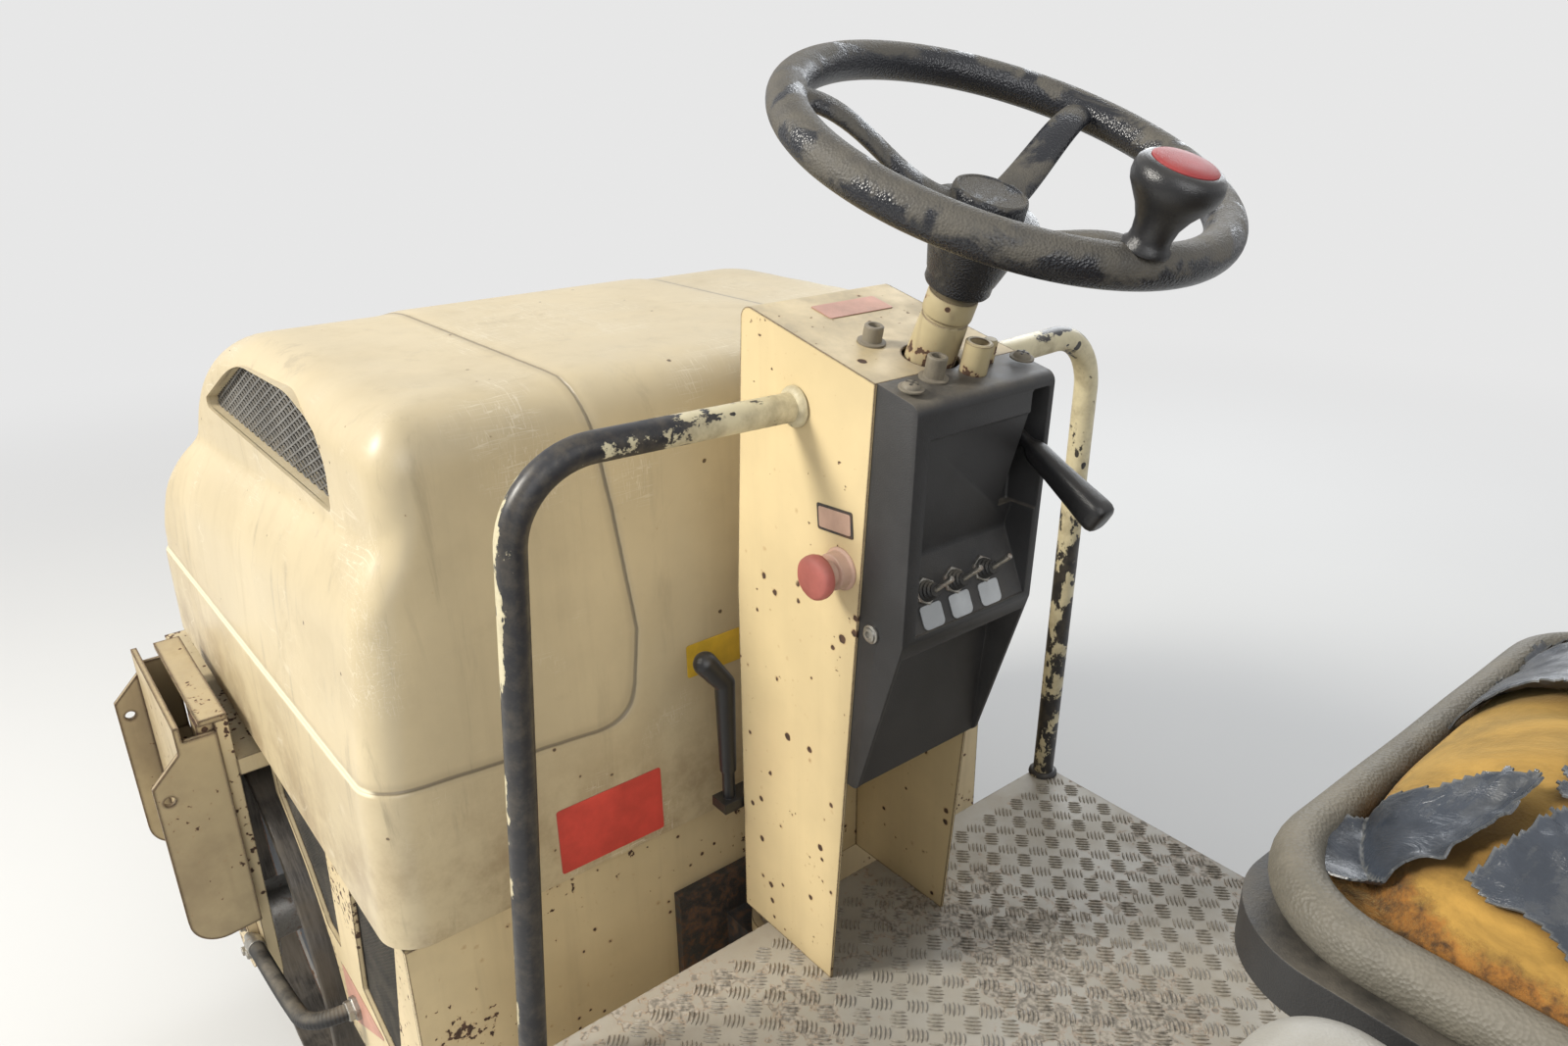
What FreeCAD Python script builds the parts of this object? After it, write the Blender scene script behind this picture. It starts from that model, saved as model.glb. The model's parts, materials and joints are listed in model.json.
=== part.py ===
"""Small ride-on tandem road roller with a centre pivot, in millimetres.

X points forward, Y to the machine's left and Z up. The origin is on the ground
below the centre pivot, midway between the two drums.
"""
import FreeCAD
import Part
import math
import os

V = FreeCAD.Vector
os.makedirs("parts", exist_ok=True)

# Driving sizes of the whole machine
axle_x = 720.0            # from the centre pivot to either drum's axle
drum_r = 290.0
end_overhang = 70.0       # from a drum's outermost line to the machine's end
reach = axle_x + drum_r + end_overhang    # from the centre pivot to either end
drum_half = 450.0
drum_wall = 14.0
running_gap = 14.0        # between a drum's end and the arm beside it
sheet = 6.0               # body plates
seat_gap = 0.3            # soft pieces stay this far from what carries them
shaft_gap = 0.05          # radial play of a turning shaft

# Centre pivot
pivot_pin_r = 22.0
pivot_boss_r = 42.0
pivot_low = 395.0
pivot_high = 525.0
lug_thick = 20.0
lug_play = 1.0

# Bodies' plates
tub_floor = 300.0         # underside of both lower bodies
bulkhead_x = 77.0         # rear face of the front body
front_side_half = 427.0   # outer face of the front side panels
front_inner_half = 415.0  # half width of the plates between the side panels
tub_gap = 29.0            # from either tub's end wall to its drum
drum_wall_x = axle_x - drum_r - tub_gap
deck_gap = 60.0           # from the drums' tops to the front deck's surface
deck_top = 2 * drum_r + deck_gap
deck_half = 452.0
front_side_top = deck_top + 50
front_side_step = deck_top + 20   # above this the panels stand back from the hood's round corners
platform_gap = 30.0       # from the drums' tops to the platform's surface
platform_top = 2 * drum_r + platform_gap
platform_half = 385.0
platform_front = -75.0
arch_gap = 22.0           # radial room of a side panel round its drum

# Drum arms and their outer boxes
arm_thick = 16.0
arm_half = 130.0          # half width of an arm at its top
arm_tongue = 100.0        # radius of an arm's lower end
hub_r = 70.0
stub_r = 45.0
hub_tube_wall = 14.0
disc_inset = 62.0
disc_thick = 12.0
hub_tube_out = 20.0       # how far the hub tube stands out of its disc, and how far in
hub_tube_in = 90.0

# Hood
hood_rear = 65.0
hood_end_gap = 30.0       # from the hood's front to the machine's end
hood_front = reach - hood_end_gap
hood_gap = 29.0           # from the deck's surface to the hood's foot
hood_low = deck_top + hood_gap
hood_ridge = hood_low + 184
hood_top = hood_low + 538
hood_foot_half = 438.0
hood_ridge_half = 435.0
hood_side_half = 386.0
hood_shoulder_half = 418.0
hood_shoulder_low = hood_low + 387    # foot and top of the shoulder's bevel at the rear face
hood_shoulder_high = hood_shoulder_low + 36
hood_shoulder_drop = 100.0    # how far the shoulder falls from the rear face to the front
hood_shoulder_r = 30.0
hood_wall = 5.0
hood_edge_r = 58.0
hood_pad = 4.0            # height of the raised centre panel
hood_pad_half = 185.0
hood_eye_r = 12.0
hood_hinge_x = reach - hood_eye_r
hood_hinge_z = deck_top
hood_hinge_y = 260.0

# Console, column and steering wheel
wheel_centre = V(-280, 0, platform_top + 810)
wheel_lean = 22.9
wheel_r = 180.0
rim_r = 14.0
column_r = 23.5
console_half = 83.0
console_wall = 3.0
rail_r = 13.0
rail_bend = 72.0

# Seat and the tanks beside it
tank_height = 500.0       # above the platform
tank_top = platform_top + tank_height
tank_gap = 30.0           # from the seat's side to the tank beside it
tank_outer = 440.0
tank_front = -685.0
seat_front = -625.0
seat_half = 220.0
tank_inner = seat_half + tank_gap
seat_height = 440.0       # from the platform to the top of the pedestal
seat_low = platform_top + seat_height
pan_thick = 28.0
cushion_low = seat_low + pan_thick
cushion_thick = 92.0
cushion_top = cushion_low + cushion_thick


def box(x0, x1, y0, y1, z0, z1):
    """Block between two corners."""
    return Part.makeBox(x1 - x0, y1 - y0, z1 - z0, V(x0, y0, z0))


def rod(start, end, radius):
    """Round bar from one point to another."""
    along = end - start
    return Part.makeCylinder(radius, along.Length, start, along)


def cone(start, end, r_start, r_end):
    """Tapered round bar from one point to another."""
    along = end - start
    return Part.makeCone(r_start, r_end, along.Length, start, along)


def plane_point(plane, u, v, w):
    """Point with coordinates u, v in the named plane, at distance w from it."""
    if plane == "xz":
        return V(u, w, v)
    if plane == "yz":
        return V(w, u, v)
    return V(u, v, w)


def outline(rows, plane, w):
    """Closed wire through rows of (u, v, corner radius), corners made as tangent arcs."""
    flat = [V(u, v, 0) for u, v, _ in rows]
    count = len(rows)
    ends = []
    edges = []
    for i, (u, v, radius) in enumerate(rows):
        here, before, after = flat[i], flat[i - 1], flat[(i + 1) % count]
        if radius <= 0:
            ends.append((here, here))
            continue
        back = (before - here).normalize()
        ahead = (after - here).normalize()
        half = back.getAngle(ahead) / 2
        reach_back = radius / math.tan(half)
        start = here + back * reach_back
        end = here + ahead * reach_back
        bisector = (back + ahead).normalize()
        middle = here + bisector * (radius / math.sin(half) - radius)
        ends.append((start, end))
        edges.append((i, start, middle, end))
    arcs = {i: (start, middle, end) for i, start, middle, end in edges}

    def place(p):
        return plane_point(plane, p.x, p.y, w)

    path = []
    for i in range(count):
        if i in arcs:
            path.append(Part.Arc(*[place(p) for p in arcs[i]]).toShape())
        leave, arrive = ends[i][1], ends[(i + 1) % count][0]
        if leave.distanceToPoint(arrive) > 1e-6:
            path.append(Part.LineSegment(place(leave), place(arrive)).toShape())
    return Part.Wire(path)


def prism(rows, plane, w0, w1):
    """Solid between two parallel planes with the outline that the rows give."""
    face = Part.Face(outline(rows, plane, w0))
    return face.extrude(plane_point(plane, 0, 0, w1 - w0))


def mirrored(shape):
    """The same piece on the machine's right side."""
    return shape.mirror(V(0, 0, 0), V(0, 1, 0))


def pair(shape):
    """A left piece with its twin on the machine's right side."""
    return [shape, mirrored(shape)]


def fuse(*shapes):
    """One solid from pieces that touch or overlap."""
    return shapes[0].multiFuse(list(shapes[1:])).removeSplitter()


def bent_tube(points, bend, radius, wall):
    """Tube whose centre line runs through the points with arcs of radius bend."""
    edges = []
    last = points[0]
    for here, after in zip(points[1:-1], points[2:]):
        back = (last - here).normalize()
        ahead = (after - here).normalize()
        half = back.getAngle(ahead) / 2
        cut = bend / math.tan(half)
        start = here + back * cut
        end = here + ahead * cut
        middle = here + (back + ahead).normalize() * (bend / math.sin(half) - bend)
        edges.append(Part.LineSegment(last, start).toShape())
        edges.append(Part.Arc(start, middle, end).toShape())
        last = end
    edges.append(Part.LineSegment(last, points[-1]).toShape())
    path = Part.Wire(edges)
    first = (points[1] - points[0]).normalize()

    def sweep(r):
        ring = Part.Wire(Part.makeCircle(r, points[0], first))
        return path.makePipeShell([ring], True, False)

    outer = sweep(radius)
    return outer.cut(sweep(radius - wall)) if wall else outer


def save(name, *shapes):
    """Write one node's solids to its own file."""
    solids = [solid for shape in shapes for solid in shape.Solids]
    whole = solids[0] if len(solids) == 1 else Part.makeCompound(solids)
    assert whole.isValid(), name
    whole.exportStep("parts/" + name + ".step")
    print("%-24s %d solids  %.0f cm3" % (name, len(solids), whole.Volume / 1000))


# Drums and what carries them

def turned(rows, x):
    """Solid of revolution about the drum's axle, from rows of radius and place along it."""
    face = Part.Face(outline([(r, y, 0) for r, y in rows], "xy", 0))
    solid = face.revolve(V(0, 0, 0), V(0, 1, 0), 360)
    solid.translate(V(x, 0, drum_r))
    return solid


def drum(x):
    """Rolled shell of a drum with chamfered rims."""
    inner = drum_r - drum_wall
    chamfer = 5.0
    rows = [
        (inner, -drum_half), (drum_r - chamfer, -drum_half), (drum_r, -drum_half + chamfer),
        (drum_r, drum_half - chamfer), (drum_r - chamfer, drum_half), (inner, drum_half),
    ]
    return turned(rows, x)


def drum_end(x):
    """Left end disc of a drum, set in from the rim, with the tube round the stub axle."""
    y_disc = drum_half - disc_inset
    tube_r = stub_r + hub_tube_wall
    inner = drum_r - drum_wall
    rows = [
        (inner, y_disc), (tube_r, y_disc), (tube_r, y_disc + hub_tube_out), (stub_r, y_disc + hub_tube_out),
        (stub_r, y_disc - hub_tube_in), (tube_r, y_disc - hub_tube_in), (tube_r, y_disc - disc_thick),
        (inner, y_disc - disc_thick),
    ]
    return turned(rows, x)


def arm(x, top, y_in):
    """Arm beside a drum: a plate that ends in a round tongue at the axle."""
    low = drum_r - arm_tongue
    rows = [
        (x - arm_half, top, 0), (x - arm_tongue, drum_r, 0), (x - arm_tongue, low, arm_tongue - 1),
        (x + arm_tongue, low, arm_tongue - 1), (x + arm_tongue, drum_r, 0), (x + arm_half, top, 0),
    ]
    plate = prism(rows, "xz", y_in, y_in + arm_thick)
    y_out = y_in + arm_thick
    hub = rod(V(x, y_out, drum_r), V(x, y_out + 14, drum_r), hub_r)
    return fuse(plate, hub)


def stub_axle(x, y_in):
    """Stub axle with its flange, from the arm into the drum's hub tube."""
    y_tip = drum_half - disc_inset - 70
    flange = rod(V(x, y_in - 8, drum_r), V(x, y_in, drum_r), hub_r)
    shaft = rod(V(x, y_tip, drum_r), V(x, y_in - 8, drum_r), stub_r - shaft_gap)
    return fuse(shaft, flange)


scraper_rise = 205.0      # height of a blade's edge above the axle
scraper_gap = 6.0
scraper_half = 412.0


def scraper(x_drum, side, level):
    """Scraper along a drum with its holder, which runs level to the body or up to the deck."""
    z = drum_r + scraper_rise
    dx = math.sqrt((drum_r + scraper_gap) ** 2 - scraper_rise ** 2)
    blade_rows = [(dx, z, 0), (dx + 34, z + 34, 0), (dx + 39, z + 29, 0), (dx + 5, z - 5, 0)]
    blade = prism([(x_drum + side * u, v, r) for u, v, r in blade_rows], "xz", -scraper_half, scraper_half)
    x_heel = x_drum + side * (dx + 34)
    z_heel = z + 29
    x_end = math.copysign(drum_wall_x, x_drum) if level else x_heel + side * 5
    low, high = sorted((x_heel, x_end))
    if level:
        holder = box(low, high, -scraper_half, scraper_half, z_heel, z_heel + 5)
    else:
        holder = box(low, high, -scraper_half, scraper_half, z_heel, level_of_deck(x_drum))
    return fuse(blade, holder)


def level_of_deck(x_drum):
    """Underside of the deck above the drum at x."""
    return deck_top - sheet if x_drum > 0 else platform_top - 2 * sheet


# Front body

def front_frame():
    """Tub below the hood, deck over the front drum, side rails and front beam."""
    half = front_inner_half
    wide = front_side_half - sheet
    x_rail = axle_x - arm_half
    floor = box(bulkhead_x + sheet, drum_wall_x, -wide, wide, tub_floor, tub_floor + sheet)
    wall = box(drum_wall_x - sheet, drum_wall_x, -half, half, tub_floor, deck_top)
    deck = box(bulkhead_x + sheet, hood_front - 20, -half, half, deck_top - sheet, deck_top)
    beam = box(hood_front - 30, hood_front, -deck_half, deck_half, deck_top - 75, deck_top)
    parts = [floor, wall, deck, beam]
    for sign in (1, -1):
        y0, y1 = sorted((sign * half, sign * arm_y))
        parts.append(box(x_rail, hood_front, y0, y1, deck_top - 25, deck_top))
    tub = fuse(*parts)
    room = rod(V(axle_x, -arm_y, drum_r), V(axle_x, arm_y, drum_r), drum_r + arch_gap)
    return tub.cut(room)


def bulkhead():
    """Rear wall of the front body, stepped in above where it enters the hood."""
    x1 = bulkhead_x + sheet
    low = box(bulkhead_x, x1, -front_side_half, front_side_half, tub_floor, front_side_step)
    half = front_inner_half - 30
    high = box(bulkhead_x, x1, -half, half, front_side_step, front_side_top)
    return fuse(low, high)


def front_side():
    """Side panel below the hood with its arch round the drum and two vent openings."""
    x0 = bulkhead_x + sheet
    x1 = axle_x - arm_half - 2
    x_step = hood_rear + 67
    rows = [
        (x0, tub_floor, 0), (drum_wall_x, tub_floor, 0), (drum_wall_x + 30, tub_floor + 120, 60),
        (x1, deck_top - 80, 0),
        (x1, front_side_top, 0), (x_step, front_side_top, 0), (x_step, front_side_step, 0),
        (x0, front_side_step, 0),
    ]
    plate = prism(rows, "xz", front_side_half - sheet, front_side_half)
    room = rod(V(axle_x, 0, drum_r), V(axle_x, 600, drum_r), drum_r + arch_gap)
    plate = plate.cut(room)
    for corners in vents:
        rows = [(x, z, vent_corner_r) for x, z in corners]
        plate = plate.cut(prism(rows, "xz", front_side_half - 2 * sheet, front_side_half + sheet))
    return plate


# Mesh vents in the side panel: x and z of each one's corners
vents = [
    [(185, deck_top - 242), (302, deck_top - 200), (262, deck_top + 12), (112, deck_top + 12)],
    [(drum_wall_x - 23, deck_top - 190), (drum_wall_x + 31, deck_top - 190),
     (drum_wall_x + 83, deck_top - 128), (drum_wall_x + 165, deck_top - 60),
     (drum_wall_x + 165, deck_top + 12), (drum_wall_x - 51, deck_top + 12)],
]
vent_corner_r = 6.0
vent_pitch_x = 31.0
vent_pitch_z = 26.0
vent_bar = 7.0
vent_lean = -0.18         # how far the mesh leans with height


def vent_slots(corners, y):
    """Slots of one vent's mesh, kept inside its opening."""
    xs = [x for x, _ in corners]
    zs = [z for _, z in corners]
    opening = prism([(x, z, vent_corner_r) for x, z in corners], "xz", y - 4, y + 2)
    slots = []
    for row in range(int((max(zs) - min(zs)) / vent_pitch_z) + 1):
        z0 = min(zs) + row * vent_pitch_z + vent_bar / 2
        z1 = z0 + vent_pitch_z - vent_bar
        shift0 = vent_lean * (z0 - min(zs))
        shift1 = vent_lean * (z1 - min(zs))
        for column in range(int((max(xs) - min(xs)) / vent_pitch_x) + 3):
            x0 = min(xs) + column * vent_pitch_x
            x1 = x0 + vent_pitch_x - vent_bar
            rows = [(x0 + shift0, z0, 0), (x1 + shift0, z0, 0), (x1 + shift1, z1, 0), (x0 + shift1, z1, 0)]
            slot = prism(rows, "xz", y - 4, y + 2).common(opening)
            slots += [piece for piece in slot.Solids if piece.Volume > 600]
    return slots


def vent_mesh():
    """Grilles behind the vents: a plate for each with slots in rows."""
    y = front_side_half - sheet
    rim = 6.0
    plates = []
    for corners in vents:
        middle_x = sum(x for x, _ in corners) / len(corners)
        middle_z = sum(z for _, z in corners) / len(corners)
        grown = [
            (x + math.copysign(rim, x - middle_x), z + math.copysign(rim, z - middle_z), 0)
            for x, z in corners
        ]
        plate = prism(grown, "xz", y - 2, y)
        plates.append(plate.cut(Part.makeCompound(vent_slots(corners, y))))
    return plates


def front_box():
    """Outer box on the front arm: top plate, web, two eared plates and inner channel."""
    x0 = axle_x - arm_half
    x1 = axle_x + arm_half + 20
    y_in = arm_y + arm_thick
    y_web = y_in + 41
    top = front_arm_top + 8
    web = box(x0, x1, y_web, y_web + 8, deck_top - 248, top)
    cap = box(x0, x1, y_in - arm_thick, y_web - 22, top - 8, top)
    ear_rows = [
        (y_in, deck_top - 260, 0), (y_web + 46, deck_top - 268, 42), (y_web + 46, deck_top - 4, 0),
        (y_web + 8, deck_top + 34, 0), (y_web + 8, deck_top + 50, 0), (y_in, deck_top + 50, 0),
    ]
    ears = [prism(ear_rows, "yz", x, x + 8) for x in (x0, x1 - 8)]
    z_hole = deck_top - 28
    holes = [rod(V(x - 5, y_web + 30, z_hole), V(x + 20, y_web + 30, z_hole), 7) for x in (x0, x1 - 8)]
    channel = box(x0 + 8, x0 + 48, y_in, y_in + 22, deck_top - 220, top - 8)
    inner = box(x0 + 8, x1 - 8, y_in, y_web, deck_top - 80, deck_top - 72)
    body = fuse(web, cap, channel, inner, *ears)
    return body.cut(Part.makeCompound(holes))


def wear_bar():
    """Flat upright bar between the box's web and channel."""
    x0 = axle_x - arm_half + 62
    return box(x0, x0 + 60, arm_y + arm_thick, arm_y + arm_thick + 14, deck_top - 72, deck_top + 50)


arm_y = drum_half + running_gap
front_arm_top = deck_top + 64


def pivot_block():
    """Front half of the centre pivot: a bored boss welded to the bulkhead."""
    low = pivot_low + lug_thick + lug_play
    high = pivot_high - lug_thick - lug_play
    boss = rod(V(0, 0, low), V(0, 0, high), pivot_boss_r)
    web = box(0, bulkhead_x, -pivot_boss_r, pivot_boss_r, low, high)
    flange = box(bulkhead_x - 12, bulkhead_x, -110, 110, low - 60, high + 60)
    bore = rod(V(0, 0, low - 5), V(0, 0, high + 5), pivot_pin_r + shaft_gap)
    return fuse(boss, web, flange).cut(bore)


def engine():
    """Engine and pump as one plain block on the deck."""
    return box(bulkhead_x + 128, axle_x - 80, -190, 190, deck_top, deck_top + 410)


# Hood

def shoulder_room(inset):
    """Wedge above the left shoulder's bevel, a plane that falls forward, moved in by inset."""
    rise = hood_shoulder_high - hood_shoulder_low
    run = hood_shoulder_half - hood_side_half
    slope = hood_shoulder_drop / (hood_front - hood_rear)
    x0 = hood_rear - 60
    x1 = hood_front + 60
    corners = []
    for x, share in ((x0, -3), (x0, 1.4), (x1, 1.4), (x1, -3)):
        y = hood_shoulder_half - run * share
        z = hood_shoulder_low + rise * share - slope * (x - hood_rear)
        corners.append(V(x, y, z))
    normal = (corners[1] - corners[0]).cross(corners[3] - corners[0]).normalize()
    if normal.z < 0:
        normal = normal * -1
    face = Part.Face(Part.makePolygon([p - normal * inset for p in corners + corners[:1]]))
    return face.extrude(normal * 300)


def hood_lower(inset):
    """Wide lower body of the hood: tapering sides below the shoulder's bevel."""
    top = hood_shoulder_high + 20
    lean = (hood_ridge_half - hood_shoulder_half) / (hood_shoulder_low - hood_ridge)
    top_half = hood_shoulder_half - lean * (top - hood_shoulder_low)
    half = [(hood_foot_half, hood_low - 1), (hood_ridge_half, hood_ridge), (top_half, top)]
    rows = [(y - inset, z, 0) for y, z in half]
    rows += [(-y, z, 0) for y, z, _ in reversed(rows)]
    body = prism(rows, "yz", hood_rear - 40, hood_front + 40)
    wedge = shoulder_room(inset)
    body = body.cut(wedge).cut(mirrored(wedge))
    edges = [e for e in body.Edges if is_shoulder(e, inset)]
    return body.makeFillet(hood_shoulder_r - inset, edges)


def is_shoulder(edge, inset):
    """Whether the edge is the long convex one along a shoulder's foot."""
    bounds = edge.BoundBox
    middle = abs((bounds.YMin + bounds.YMax) / 2)
    falls = bounds.ZMax - bounds.ZMin > hood_shoulder_drop * 0.8
    return bounds.XLength > 500 and falls and middle > hood_shoulder_half - 25 - inset


def hood_form(inset):
    """Solid inside the hood's skin: lower body and narrower crown, cut by side and plan outlines."""
    half = hood_side_half - inset
    top = hood_top - inset
    edge = hood_edge_r - inset
    crown_rows = [(half, hood_low - 1, 0), (half, top, edge), (-half, top, edge), (-half, hood_low - 1, 0)]
    crown = prism(crown_rows, "yz", hood_rear - 40, hood_front + 40)
    rear = hood_rear + inset
    front = hood_front - inset
    side_rows = [
        (rear, hood_low - 2, 0), (front, hood_low - 2, 0), (front, hood_low + 181, 130 - inset),
        (hood_front - 335, top, 300 - inset), (rear, top, 42 - inset),
    ]
    side = prism(side_rows, "xz", -500, 500)
    wide = hood_foot_half - inset + 2
    corner = 62.0 - inset
    front_corner = 130.0 - inset
    plan_rows = [
        (rear, -wide, corner), (front, -wide, front_corner),
        (front, wide, front_corner), (rear, wide, corner),
    ]
    plan = prism(plan_rows, "xy", hood_low - 3, hood_top + 50)
    return hood_lower(inset).fuse(crown).common(side).common(plan)


# D-shaped opening in the hood's upper side: x, z and corner radius
grille_rows = [
    (hood_rear + 147, hood_low + 417, 10), (hood_rear + 135, hood_low + 489, 40),
    (hood_rear + 253, hood_low + 517, 160), (hood_front - 530, hood_low + 509, 260),
    (hood_front - 308, hood_low + 417, 8),
]


def hood_shell():
    """Moulded hood, its left half mirrored: thin walls, grille openings, raised centre panel, open foot."""
    end = hood_front + 150
    left = box(0, end, 0, 500, hood_low - 10, hood_top + 100)
    inside = hood_form(hood_wall)
    skin = hood_form(0).common(left).cut(inside.common(left))
    foot = box(0, end, -500, 500, hood_low - 10, hood_low)
    grille = prism(grille_rows, "xz", hood_side_half - 56, hood_side_half + 114)
    skin = skin.cut(foot).cut(grille).removeSplitter()
    side_rows = [
        (hood_rear + 60, hood_top - 20, 0), (hood_front - 350, hood_top - 20, 0),
        (hood_front - 410, hood_top + hood_pad, 30), (hood_rear + 60, hood_top + hood_pad, 8),
    ]
    pad = prism(side_rows, "xz", -hood_pad_half, hood_pad_half).cut(inside)
    return skin.fuse(mirrored(skin)).fuse(pad).removeSplitter()


def hood_grille():
    """Grille behind the side opening: a rim plate with slots in staggered rows."""
    y_out = hood_side_half - hood_wall
    grown = [
        (hood_rear + 139, hood_low + 409, 10), (hood_rear + 127, hood_low + 489, 40),
        (hood_rear + 251, hood_low + 520, 160), (hood_front - 526, hood_low + 512, 260),
        (hood_front - 280, hood_low + 409, 8),
    ]
    plate = prism(grown, "xz", y_out - 22, y_out - 19)
    lip = prism(grown, "xz", y_out - 22, y_out).cut(prism(grille_rows, "xz", y_out - 30, y_out + 5))
    body = fuse(plate, lip)
    inside = hood_form(hood_wall)
    body = body.common(inside)
    slots = []
    pitch_x = 34.0
    pitch_z = 17.0
    for row in range(6):
        z = hood_low + 423 + row * pitch_z
        for col in range(17):
            x = hood_rear + 149 + col * pitch_x + (row % 2) * pitch_x / 2
            if x + 26 < hood_front - 320 - row * 34:
                slots.append(box(x, x + 27, y_out - 30, y_out - 10, z, z + 11))
    return body.cut(Part.makeCompound(slots))


def hood_hinge_lug(y):
    """Lug on the front beam with the hinge pin, beside one hinge arm."""
    x = hood_hinge_x
    z = hood_hinge_z
    rows = [
        (hood_front, deck_top - 60, 0), (x + hood_eye_r, deck_top - 40, 4), (x + hood_eye_r, z + 12, 11),
        (x - 14, z + 12, 11), (hood_front, deck_top, 0),
    ]
    plate = prism(rows, "xz", y - 26, y - 16)
    pin = rod(V(x, y - 26, z), V(x, y + 16, z), 6)
    return fuse(plate, pin)


def hood_hinge_arm(y):
    """Hinge arm that hangs from the hood's front wall round the pin."""
    x = hood_hinge_x
    z = hood_hinge_z
    eye = rod(V(x, y - 10, z), V(x, y + 10, z), hood_eye_r)
    strap = box(hood_front, hood_front + 5, y - 10, y + 10, z + 7, hood_low + 70)
    link = box(hood_front, x, y - 10, y + 10, z + 7, z + 15)
    bore = rod(V(x, y - 15, z), V(x, y + 15, z), 6 + shaft_gap)
    return fuse(eye, strap, link).cut(bore)


# Steering cylinder, level and below the pivot's lugs, drawn with the machine straight

ram_z = 330.0
ram_foot = V(-48, -270, ram_z)      # barrel's pivot, on the rear body
ram_head = V(44, -36, ram_z)        # rod eye's pivot, on the front body
ram_pin_r = 8.0
ram_eye_r = 18.0
ram_barrel_r = 20.0
ram_eye_play = 8.5                  # room for the eye round its pin
ram_foot_gap = 12.1                 # half the height between the lugs at either pivot
ram_head_gap = 17.0
ram_line = (ram_head - ram_foot).normalize()


def steer_barrel():
    """Barrel with its foot eye on the rear body's pin."""
    foot = rod(ram_foot - V(0, 0, 12), ram_foot + V(0, 0, 12), ram_eye_r)
    neck = rod(ram_foot + ram_line * 12, ram_foot + ram_line * 40, 10)
    tube = rod(ram_foot + ram_line * 34, ram_foot + ram_line * 168, ram_barrel_r)
    bore = rod(ram_foot - V(0, 0, 20), ram_foot + V(0, 0, 20), ram_pin_r + shaft_gap)
    hole = rod(ram_foot + ram_line * 40, ram_foot + ram_line * 170, 10 + shaft_gap)
    return fuse(foot, neck, tube).cut(bore).cut(hole)


def steer_ram():
    """Ram's rod with its eye round the front body's pin."""
    eye_out = ram_pin_r + ram_eye_play + 4
    shaft = rod(ram_foot + ram_line * 60, ram_head - ram_line * (eye_out - 3), 10)
    eye = rod(ram_head - V(0, 0, 9), ram_head + V(0, 0, 9), eye_out)
    bore = rod(ram_head - V(0, 0, 15), ram_head + V(0, 0, 15), ram_pin_r + ram_eye_play)
    return fuse(shaft, eye).cut(bore)


def clevis(pivot, x_wall, gap):
    """Two level lugs from a wall round a pin, above and below the eye."""
    parts = []
    x_low, x_high = sorted((pivot.x, x_wall))
    for z in (pivot.z - gap - 8, pivot.z + gap):
        parts.append(box(x_low, x_high, pivot.y - 15, pivot.y + 15, z, z + 8))
        parts.append(rod(V(pivot.x, pivot.y, z), V(pivot.x, pivot.y, z + 8), 15))
    parts.append(rod(pivot - V(0, 0, gap + 8), pivot + V(0, 0, gap + 8), ram_pin_r))
    return fuse(*parts)


# Rear body

def rear_frame():
    """Tub below the platform, deck over the rear drum, rear beam and pivot lugs."""
    half = platform_half - sheet
    top = platform_top - sheet
    front = box(platform_front - sheet, platform_front, -platform_half, platform_half, tub_floor, top)
    floor = box(-drum_wall_x, platform_front - sheet, -half, half, tub_floor, tub_floor + sheet)
    wall = box(-drum_wall_x, -drum_wall_x + sheet, -half, half, tub_floor, top)
    deck = box(-reach + 40, -drum_wall_x, -arm_y, arm_y, top - sheet, top)
    beam = box(-reach + 40, -reach + 65, -arm_y, arm_y, top - 80, top)
    lugs = []
    for z in (pivot_low, pivot_high - lug_thick):
        tongue = [
            (platform_front, -120, 0), (0, -pivot_boss_r, 0), (0, pivot_boss_r, 0), (platform_front, 120, 0),
        ]
        lug = prism(tongue, "xy", z, z + lug_thick)
        lug = lug.fuse(rod(V(0, 0, z), V(0, 0, z + lug_thick), pivot_boss_r))
        lugs.append(lug)
    body = fuse(front, floor, wall, deck, beam, clevis(ram_foot, platform_front, ram_foot_gap), *lugs)
    bore = rod(V(0, 0, pivot_low - 5), V(0, 0, pivot_high + 5), pivot_pin_r)
    return body.cut(bore)


def pivot_pin():
    """Centre pivot's pin with its head."""
    shaft = rod(V(0, 0, pivot_low - 6), V(0, 0, pivot_high), pivot_pin_r)
    head = rod(V(0, 0, pivot_high), V(0, 0, pivot_high + 10), pivot_pin_r + 10)
    return fuse(shaft, head)


def rear_side():
    """Side plate below the platform."""
    front = platform_front - sheet
    top = platform_top - sheet
    rows = [(front, tub_floor, 0), (-drum_wall_x, tub_floor, 0), (-drum_wall_x, top, 0), (front, top, 0)]
    return prism(rows, "xz", platform_half - sheet, platform_half)


def platform():
    """Tread plate of the platform."""
    return box(tank_front, platform_front, -platform_half, platform_half, platform_top - sheet, platform_top)


def side_tank():
    """Rounded tank beside the seat."""
    body = box(-reach + 20, tank_front, tank_inner, tank_outer, platform_top - sheet, tank_top)
    upright = [e for e in body.Edges if abs(e.tangentAt(e.FirstParameter).z) > 0.9]
    body = body.makeFillet(38, upright)
    rim = [e for e in body.Edges if e.BoundBox.ZMin > tank_top - 1]
    return body.makeFillet(26, rim)


def seat_pedestal():
    """Closed box that carries the seat."""
    foot = platform_top - sheet
    lip = seat_low - 40
    front = seat_front - 55
    rear = -reach + 60
    rows = [(front - 40, foot, 0), (rear, foot, 0), (rear, seat_low, 10), (front, seat_low, 10), (front, lip, 0)]
    return prism(rows, "xz", 5 - seat_half, seat_half - 5)


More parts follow.
